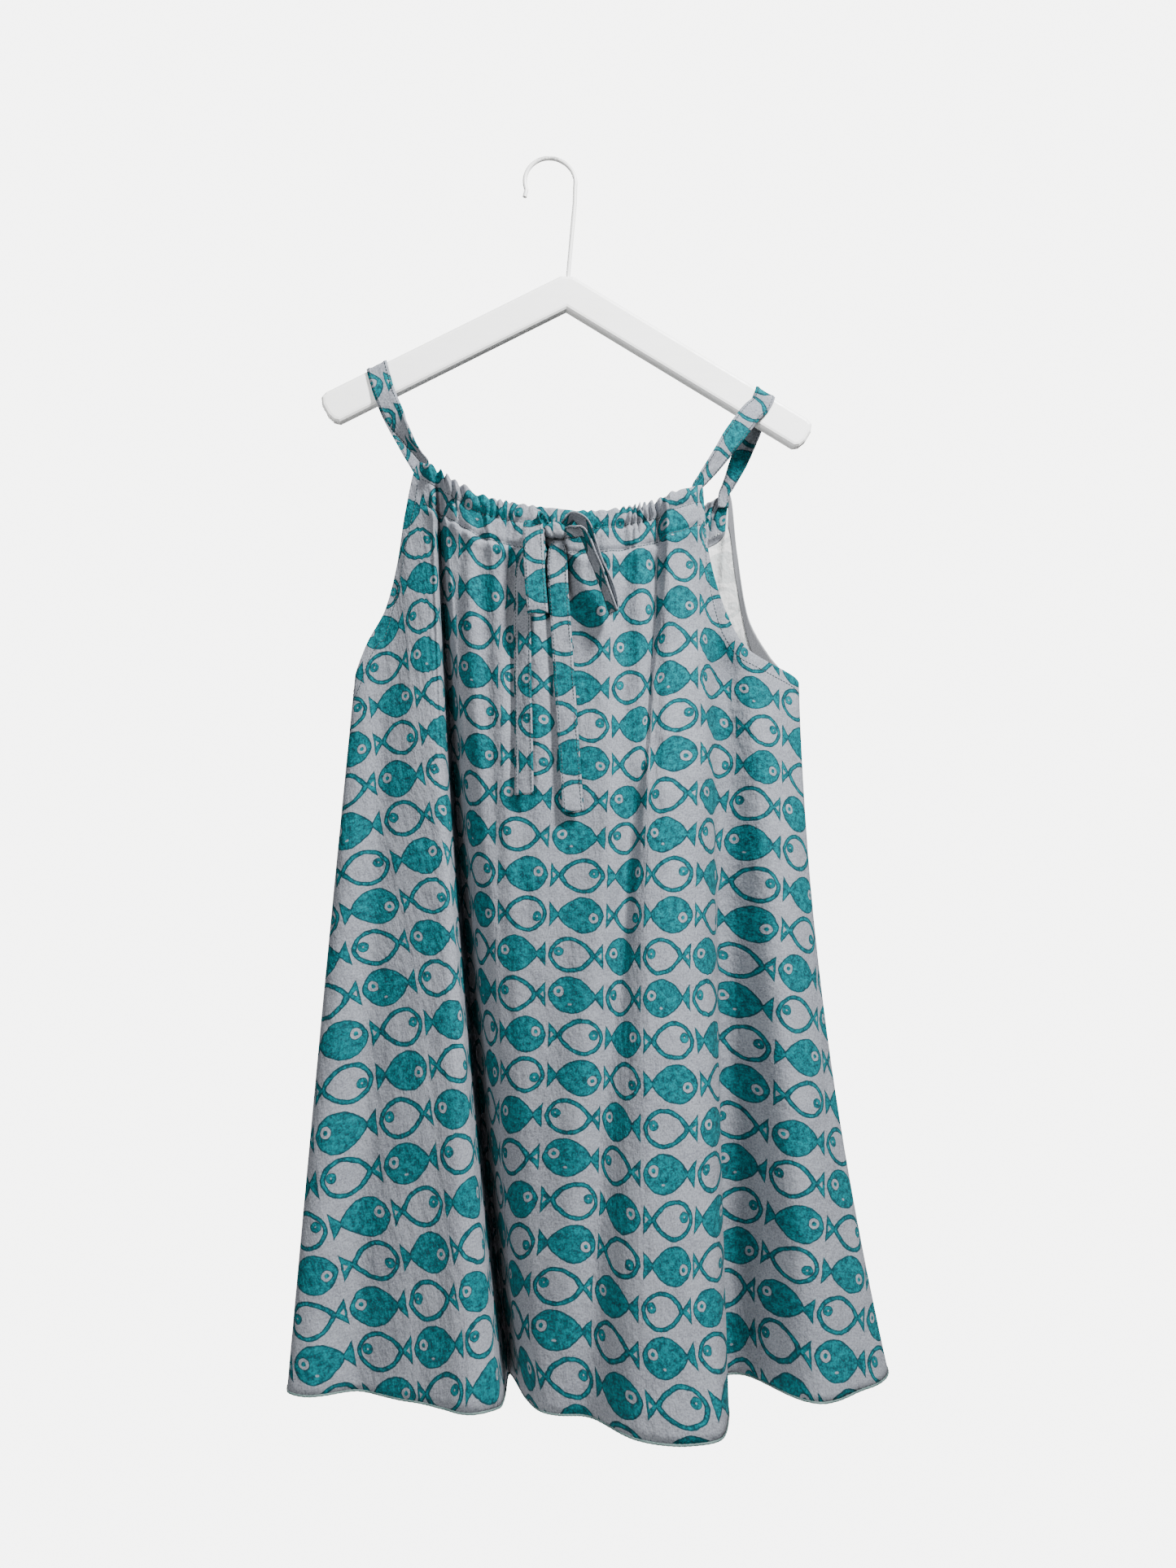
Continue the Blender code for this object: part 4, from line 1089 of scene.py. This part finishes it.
LOOP_LEFT = (
    (-6.0, -63.5, -373.0,    0.10, -0.25, 1.00,    9.0),
    (-12.5, -67.5, -366.5,    0.60, -0.30, 0.80,    13.0),
    (-17.3, -70.2, -372.5,    1.00, -0.20, 0.25,    17.0),
    (-16.5, -73.5, -400.0,    1.00, -0.14, 0.00,    18.0),
    (-13.5, -77.0, -446.0,    1.00, -0.12, 0.00,    18.0),
    (-12.8, -76.0, -452.5,    1.00, -0.12, 0.00,    18.0),
    (-13.2, -73.5, -446.0,    1.00, -0.12, 0.00,    18.0),
    (-15.5, -69.5, -412.0,    1.00, -0.12, 0.00,    18.0),
    (-13.5, -66.5, -390.0,    0.90, -0.15, 0.20,    15.0),
    (-6.0, -63.0, -377.5,    0.20, -0.20, 1.00,    9.0),
)
LOOP_RIGHT = (
    (10.0, -62.5, -373.5,    -0.10, -0.40, 1.00,    9.0),
    (17.5, -68.0, -365.5,    0.15, -0.88, 0.40,    13.0),
    (27.0, -72.0, -371.5,    0.30, -0.93, 0.16,    16.0),
    (38.0, -74.5, -402.0,    0.30, -0.95, 0.10,    17.0),
    (53.0, -78.0, -447.0,    0.30, -0.95, 0.08,    17.0),
    (52.3, -78.3, -451.0,    0.30, -0.95, 0.08,    17.0),
    (51.0, -78.7, -447.5,    0.30, -0.95, 0.08,    17.0),
    (35.2, -75.3, -403.0,    0.30, -0.95, 0.10,    17.0),
    (22.5, -71.5, -378.5,    0.22, -0.93, 0.24,    15.0),
    (10.0, -62.6, -378.5,    -0.10, -0.50, 1.00,    9.0),
)


# %% A strip along its table
def strip_frame(rows, count):
    """Middle points, width direction, facing and width along a strip."""
    rows = np.array(rows)
    middle = rows[:, :3] * MM
    knots = np.concatenate([[0], np.cumsum(np.linalg.norm(np.diff(middle, axis=0), axis=1))])
    at = np.interp(np.linspace(0, 1, count), [0, 1], [0, knots[-1]])
    mid = monotone(knots, middle, at)
    wide = monotone(knots, rows[:, 3:6], at)
    size = monotone(knots, rows[:, 6:7] * MM, at)
    ahead = unit(np.gradient(mid, axis=0))
    wide = unit(wide - ahead * (wide * ahead).sum(axis=1)[:, None])
    return at, mid, wide, np.cross(ahead, wide), size


SEAM_AT = 0.39                  # of the width, from the middle of a strip to its stitches


def strip(name, rows, count, cut, across=8, wall=0.8 * MM, wave=0.25 * MM):
    """A folded strip; cut says where on the roll it came from, in metres."""
    piece, co = new_grid(name, across, count)
    at, mid, wide, face, size = strip_frame(rows, count + 1)
    row = np.rint((0.5 - co[:, 1]) * count).astype(int)
    side = co[:, 0]
    run = at[row]
    pull = wave * (np.sin(run / (7.3 * MM)) * np.sin(6.0 * side)
                   + 0.6 * np.sin(run / (4.1 * MM) + 9.0 * side))
    pull -= 0.35 * MM * hump(np.abs(side), SEAM_AT, 0.05)
    place = mid[row] + wide[row] * (side * size[row, 0])[:, None] + face[row] * pull[:, None]
    move_points(piece, place)
    write_cloth_uv(piece, np.column_stack([cut[0] + side * TIE_WIDTH * MM, cut[1] - run]))
    piece.data.materials.append(COTTON_STRIP)
    smooth(piece)
    give_wall(piece, wall)
    apply_all(piece)
    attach(piece, "root")
    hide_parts(name.replace("_cloth", ""))
    print(name, "%.0f mm long" % (at[-1] / MM))
    return piece, at[-1]


# Each strip: its table, how many steps long its mesh is, and where it was cut.
STRIP_PLAN = {
    "strap_left": (STRAP_LEFT, 150, (0.010, 0.030)),
    "strap_right": (STRAP_RIGHT, 150, (-0.012, 0.004)),
    "tie_tail_left": (TAIL_LEFT, 110, (0.018, 0.020)),
    "tie_tail_right": (TAIL_RIGHT, 110, (0.040, 0.013)),
    "tie_loop_left": (LOOP_LEFT, 110, (-0.016, 0.000)),
    "tie_loop_right": (LOOP_RIGHT, 110, (0.004, 0.030)),
}
STRIPS = {}
for name, (rows, count, cut) in STRIP_PLAN.items():
    STRIPS[name] = strip(name + "_cloth", rows, count, cut)


# %% [markdown]
# ## Knot
# The knot is the same tie wrapped over itself once. A rounded lump with the
# folds of the wrap pressed into it reads as such at this size.

# %% Knot of the bow
KNOT_CENTRE = np.array((4.0, -61.8, -375.5)) * MM
KNOT_HALF = np.array((11.0, 5.6, 7.4)) * MM
deselect()
bpy.ops.mesh.primitive_uv_sphere_add(segments=64, ring_count=40, radius=1.0)
knot = bpy.context.object
knot.name = knot.data.name = "tie_knot_cloth"
ball = read_points(knot)[:, [2, 1, 0]] * (1, 1, -1)
angle = np.arctan2(ball[:, 2], -ball[:, 1])
slant = ball[:, 0] + 0.35 * np.sin(angle)
folds = (0.55 * np.sin(7.0 * slant + 0.6) + 0.35 * np.sin(13.0 * slant + 2.0 * angle)
         - 1.3 * hump(slant, 0.22, 0.10) - 1.0 * hump(slant, -0.45, 0.08))
square = np.sign(ball) * np.abs(ball) ** 0.78
move_points(knot, KNOT_CENTRE + square * KNOT_HALF + ball * (0.55 * MM * folds)[:, None])
write_cloth_uv(knot, np.column_stack([0.013 + ball[:, 0] * 0.010, 0.020 + angle * 0.007]))
knot.data.materials.append(COTTON_STRIP)
smooth(knot)
edit_all(knot, bpy.ops.mesh.normals_make_consistent, inside=False)
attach(knot, "root")
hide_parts("tie_knot")


# %% [markdown]
# ## Turned-in casing, bias facings and hem thread
# The neck edge is turned to the inside, so the print shows again there. Each
# armhole is finished inside with a narrow grey bias tape. The hem is a narrow
# roll wrapped in thread.


# %% Lines that follow an edge of a panel
def surface_normal(panel, share, drop, inner):
    """Normal of the cloth; inner says if it points into the dress."""
    step = 2e-3
    across = panel.points(np.clip(share + step, 0, 1), drop) \
        - panel.points(np.clip(share - step, 0, 1), drop)
    down = panel.points(share, np.clip(drop + step, 0, 1)) \
        - panel.points(share, np.clip(drop - step, 0, 1))
    normal = unit(np.cross(across, down))
    want = -panel.side if inner else panel.side
    return normal * np.where(normal[:, 1] * want > 0, 1.0, -1.0)[:, None]


def edge_inset(panel, share, depth, step=1e-3, look=8 * MM, steepest=0.12):
    """Drop at which each share lies a set depth in from the panel's edge. It
    looks a little way down the cloth, and steepest limits a slanting edge."""
    span = panel.edge(share)[:, 2] - HEM_Z
    zero = np.zeros_like(share)
    edge = panel.points(share, zero, fine=False)
    run = panel.points(np.clip(share + step, 0, 1), zero, fine=False) \
        - panel.points(np.clip(share - step, 0, 1), zero, fine=False)
    fall = unit(panel.points(share, look / span, fine=False) - edge)
    lean = np.sqrt(np.maximum(1 - (fall * unit(run)).sum(axis=1) ** 2, steepest))
    return depth / lean / span


def lay_band(name, panel, shares, depths, lift, cotton_of, uv_of, wall=0.4 * MM):
    """A narrow band that lies on the inside of a panel."""
    band, co = new_grid(name, len(shares) - 1, len(depths) - 1)
    column = np.rint((co[:, 0] + 0.5) * (len(shares) - 1)).astype(int)
    row = np.rint((0.5 - co[:, 1]) * (len(depths) - 1)).astype(int)
    share = shares[column]
    drop = edge_inset(panel, share, 1.0) * depths[row]
    move_points(band, panel.points(share, drop)
                + surface_normal(panel, share, drop, True) * lift)
    write_cloth_uv(band, uv_of(share, depths[row]))
    band.data.materials.append(cotton_of)
    if panel.side < 0:
        band.data.flip_normals()
    smooth(band)
    give_wall(band, wall)
    apply_all(band)
    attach(band, "root")
    return band


# %% Turned-in casings
for name, panel, flat in (("front", front, front_flat), ("back", back, back_flat)):
    left, right = panel.neck
    shares = np.linspace(left + 0.002, right - 0.002, 300)
    depths = np.concatenate([[0.6 * MM], np.arange(2, 39, 2) * MM, [CASING + 1.5 * MM]])
    span = float(np.mean(panel.edge(shares)[:, 2])) - HEM_Z

    def turned_uv(share, depth, flat=flat, span=span):
        return read_flat(flat, share, depth / span) * (1, -1) + (0.018, 0.010)

    lay_band("casing_turned_" + name, panel, shares, depths, 0.5 * MM,
                            COTTON_STRIP, turned_uv)

# %% Bias facings of the armholes
TAPE_WIDE = 11 * MM


def tape_uv(share, depth):
    """The tape's own roll: along the armhole, and in from its edge."""
    return np.column_stack([share * 0.9, depth])


for side in ("left", "right"):
    for part, panel in (("front", front), ("back", back)):
        seam, corner = (0.0, panel.neck[0]) if side == "left" else (1.0, panel.neck[1])
        shares = seam + (corner - seam) * np.linspace(0.03, 0.985, 130)
        if side == "right":
            shares = shares[::-1]
        tape = lay_band(f"facing_{side}_{part}", panel, shares,
                        np.linspace(0.5 * MM, TAPE_WIDE, 8), 0.55 * MM, BIAS, tape_uv)
        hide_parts(f"armhole_facing_{side}_{part}")


# %% [markdown]
# ## Stitches
# Stitches show as a fine broken line. One stitch is modelled, then copied along
# every seam, a short way above the cloth.

# %% One stitch, and a seam made of copies
deselect()
bpy.ops.mesh.primitive_uv_sphere_add(segments=6, ring_count=4, radius=1.0)
pattern = bpy.context.object
STITCH = np.array([v.co for v in pattern.data.vertices])
STITCH_FACES = [tuple(p.vertices) for p in pattern.data.polygons]
bpy.data.objects.remove(pattern, do_unlink=True)


def seam(name, path, normal, colour, length=2.7 * MM, pitch=3.2 * MM, thick=0.46 * MM,
         lift=0.30 * MM):
    """Copies of the stitch along a path of points with their normals."""
    gaps = np.linalg.norm(np.diff(path, axis=0), axis=1)
    run = np.concatenate([[0], np.cumsum(gaps)])
    count = int(run[-1] / pitch)
    at = (np.arange(count) + 0.5) * run[-1] / count
    spot, up = monotone(run, path, at), monotone(run, normal, at)
    ends = unit(monotone(run, path, np.minimum(at + 0.4 * length, run[-1]))
                - monotone(run, path, np.maximum(at - 0.4 * length, 0)))
    up = unit(up - ends * (up * ends).sum(axis=1)[:, None])
    beside = np.cross(up, ends)
    slant = 0.10 * np.sin(np.arange(count) * 2.3)[:, None]
    ends, beside = ends + beside * slant, beside - ends * slant
    shape = (spot[:, None] + up[:, None] * lift
             + ends[:, None] * STITCH[None, :, 2:3] * 0.5 * length
             + beside[:, None] * STITCH[None, :, 0:1] * thick
             + up[:, None] * STITCH[None, :, 1:2] * thick * 0.8)
    faces = [tuple(i + k * len(STITCH) for i in face) for k in range(count)
             for face in STITCH_FACES]
    mesh = bpy.data.meshes.new(name)
    mesh.from_pydata(shape.reshape(-1, 3).tolist(), [], faces)
    mesh.validate()
    row = bpy.data.objects.new(name, mesh)
    bpy.context.scene.collection.objects.link(row)
    row.data.materials.append(colour)
    smooth(row)
    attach(row, "root")
    return row


# %% Seams of the panels
SEAMS = {"front": [], "back": []}
for name, panel in (("front", front), ("back", back)):
    left, right = panel.neck
    neck = np.linspace(left + 0.004, right - 0.004, 500)
    # The casing stitches are drawn thicker than real thread, so that their dark line also paints
    # the shade under the casing's folded edge.
    for title, depth, thick in (("casing", CASING, 0.80 * MM), ("cord", CORD_SEAM, 0.46 * MM)):
        drop = depth / (panel.edge(neck)[:, 2] - HEM_Z)
        SEAMS[name].append(seam(f"stitches_{title}_{name}", panel.points(neck, drop),
                                surface_normal(panel, neck, drop, False), TEAL_THREAD_WITH_SEAM_SHADE,
                                thick=thick))
    for side, start, corner in (("left", 0.0, left), ("right", 1.0, right)):
        line = start + (corner - start) * np.linspace(0.04, 0.97, 240)
        drop = edge_inset(panel, line, 10 * MM)
        SEAMS[name].append(seam(f"stitches_armhole_{side}_{name}", panel.points(line, drop),
                                surface_normal(panel, line, drop, False), TEAL_THREAD_WITH_SEAM_SHADE))

print(sum(len(row) for row in SEAMS.values()), "seams on the panels")

# %% Seams of straps and ties
STRIP_SEAMS = {}
for name, (rows, count, cut) in STRIP_PLAN.items():
    at, mid, wide, face, size = strip_frame(rows, 160)
    STRIP_SEAMS[name] = []
    for side, edge in (("left", -SEAM_AT), ("right", SEAM_AT)):
        for face_name, skin in (("a", 1.0), ("b", -1.0)):
            STRIP_SEAMS[name].append(
                seam(f"stitches_{name}_{side}_{face_name}",
                     mid + wide * size * edge - face * 0.35 * MM, face * skin,
                     TEAL_THREAD_WITH_SEAM_SHADE, lift=0.50 * MM))


# %% Thread roll of the hem
def hem_roll(name, panel, count=640, around=8):
    """A narrow roll along the hem, ribbed by the thread around it."""
    roll, co = new_grid(name, count, around)
    share, turn = co[:, 0] + 0.5, (co[:, 1] + 0.5) * 2 * np.pi
    out = surface_normal(panel, share, np.full_like(share, 0.995), False)
    middle = panel.points(share, np.ones_like(share))
    rib = 1 + 0.10 * np.sin(share * count * np.pi * 0.5)
    place = middle + out * (np.cos(turn) * 0.75 * MM * rib)[:, None]
    place[:, 2] += np.sin(turn) * 1.15 * MM * rib + 0.6 * MM
    move_points(roll, place)
    roll.data.materials.append(HEM_THREAD)
    smooth(roll)
    edit_all(roll, bpy.ops.mesh.remove_doubles, threshold=0.02 * MM)
    edit_all(roll, bpy.ops.mesh.normals_make_consistent, inside=False)
    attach(roll, "root")
    return roll


ROLLS = {"front": hem_roll("hem_roll_front", front), "back": hem_roll("hem_roll_back", back)}


# %% [markdown]
# ## Hanger
# The painted wooden bar is already right in the solids and keeps its shape.
# Only the wire hook is drawn again, round and smooth.

# %% Hook of white wire
HOOK_INNER, HOOK_WIRE = 22 * MM, 2 * MM
radius = HOOK_INNER + HOOK_WIRE
turn = np.radians(np.linspace(200, -8, 90))
arc = np.column_stack([radius * np.cos(turn), radius * np.sin(turn) - HOOK_INNER])
low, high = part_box("hanger_hook")
foot = (16.2 * MM, low[2] + 1.0 * MM)
lead = (arc[-1][0] - 0.4 * MM, arc[-1][1] - 16 * MM)
path = np.vstack([[arc[0] + (-1.5 * MM, -7 * MM)], arc, [lead], [foot]])
wire = bpy.data.curves.new("hook_wire", 'CURVE')
wire.dimensions = '3D'
wire.bevel_depth, wire.bevel_resolution, wire.use_fill_caps = HOOK_WIRE, 6, True
line = wire.splines.new('POLY')
line.points.add(len(path) - 1)
for point, (x, z) in zip(line.points, path):
    point.co = (x, 0.0, z, 1.0)
hook = bpy.data.objects.new("hook_wire", wire)
bpy.context.scene.collection.objects.link(hook)
make_active(hook)
bpy.ops.object.convert(target='MESH')
hook = bpy.context.object
hook.data.materials.clear()
hook.data.materials.append(WIRE)
smooth(hook)
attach(hook, "root")
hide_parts("hanger_hook")

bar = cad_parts["hanger_body"]
if bar.data.materials:
    bar.data.materials[0] = PAINT
else:
    bar.data.materials.append(PAINT)
print("hook of", len(hook.data.polygons), "faces")


# %% [markdown]
# ## What each cloth was cut from
# The flat size and area of each panel, as cut before it was hung,
# are printed.

# %% Flat sizes of the cloth
def flat_area(grid):
    a = grid[1:, :-1] - grid[:-1, :-1]
    b = grid[:-1, 1:] - grid[:-1, :-1]
    return float(np.abs(a[..., 0] * b[..., 1] - a[..., 1] * b[..., 0]).sum())


for cloth, grid, name in ((front_cloth, front_flat, "front"), (back_cloth, back_flat, "back")):
    size = np.ptp(grid.reshape(-1, 2), axis=0)
    area = flat_area(grid)
    print(name, "cut", np.round(size, 3), "area %.3f" % area)
for name, (piece, length) in STRIPS.items():
    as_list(STRIP_SEAMS[name])

# %% [markdown]
# ## Light and floor
# The photo's shadows fall down and to the left, so the main light stands high
# to the right of the camera. A weak one on the left and a pale room fill the
# folds, and one behind lights the back. The floor is a small pale disc below
# the dress.


# %% Lights, world and floor
def area_light(name, at, aim, size, power):
    data = bpy.data.lights.new(name, 'AREA')
    data.shape, data.size, data.energy = 'DISK', size, power
    lamp = bpy.data.objects.new(name, data)
    bpy.context.scene.collection.objects.link(lamp)
    lamp.location = at
    lamp.rotation_euler = (Vector(aim) - Vector(at)).to_track_quat('-Z', 'Y').to_euler()


area_light("window", (0.95, -1.15, 1.05), (0.0, 0.0, -0.75), 0.36, 186.0)
area_light("fill", (-0.9, -2.1, -0.3), (0.0, 0.0, -0.8), 1.2, 44.0)
area_light("rear", (-0.9, 1.9, 0.5), (0.0, 0.0, -0.7), 1.2, 116.0)

world = bpy.data.worlds.new("studio")
world.use_nodes = True
sky = Tree(world.node_tree.nodes, world.node_tree.links)
backdrop = sky.nodes["Background"]
backdrop.inputs[0].default_value = (0.98, 0.98, 0.97, 1.0)
seen = sky.node("ShaderNodeLightPath").outputs["Is Camera Ray"]
ROOM_LIGHT, SEEN_LIGHT = 0.12, 6.08        # the room's own light, and more where it is seen
sky.feed(backdrop.inputs[1], sky.sum('MULTIPLY_ADD', seen, SEEN_LIGHT, ROOM_LIGHT))
bpy.context.scene.world = world

deselect()
bpy.ops.mesh.primitive_circle_add(vertices=96, radius=0.6, fill_type='NGON',
                                  location=(0.0, 0.0, -1.65))
floor = bpy.context.object
floor.name = "floor"
floor_paint, tree, shader = new_material("pale floor")
grain = tree.noise(tree.node("ShaderNodeTexCoord").outputs["Object"], 3.0, 2.0)
tree.feed(shader.inputs["Base Color"], tree.mix(grain, (0.80, 0.79, 0.78, 1.0),
                                                (0.84, 0.83, 0.82, 1.0)))
shader.inputs["Roughness"].default_value = 0.9
floor.data.materials.append(floor_paint)
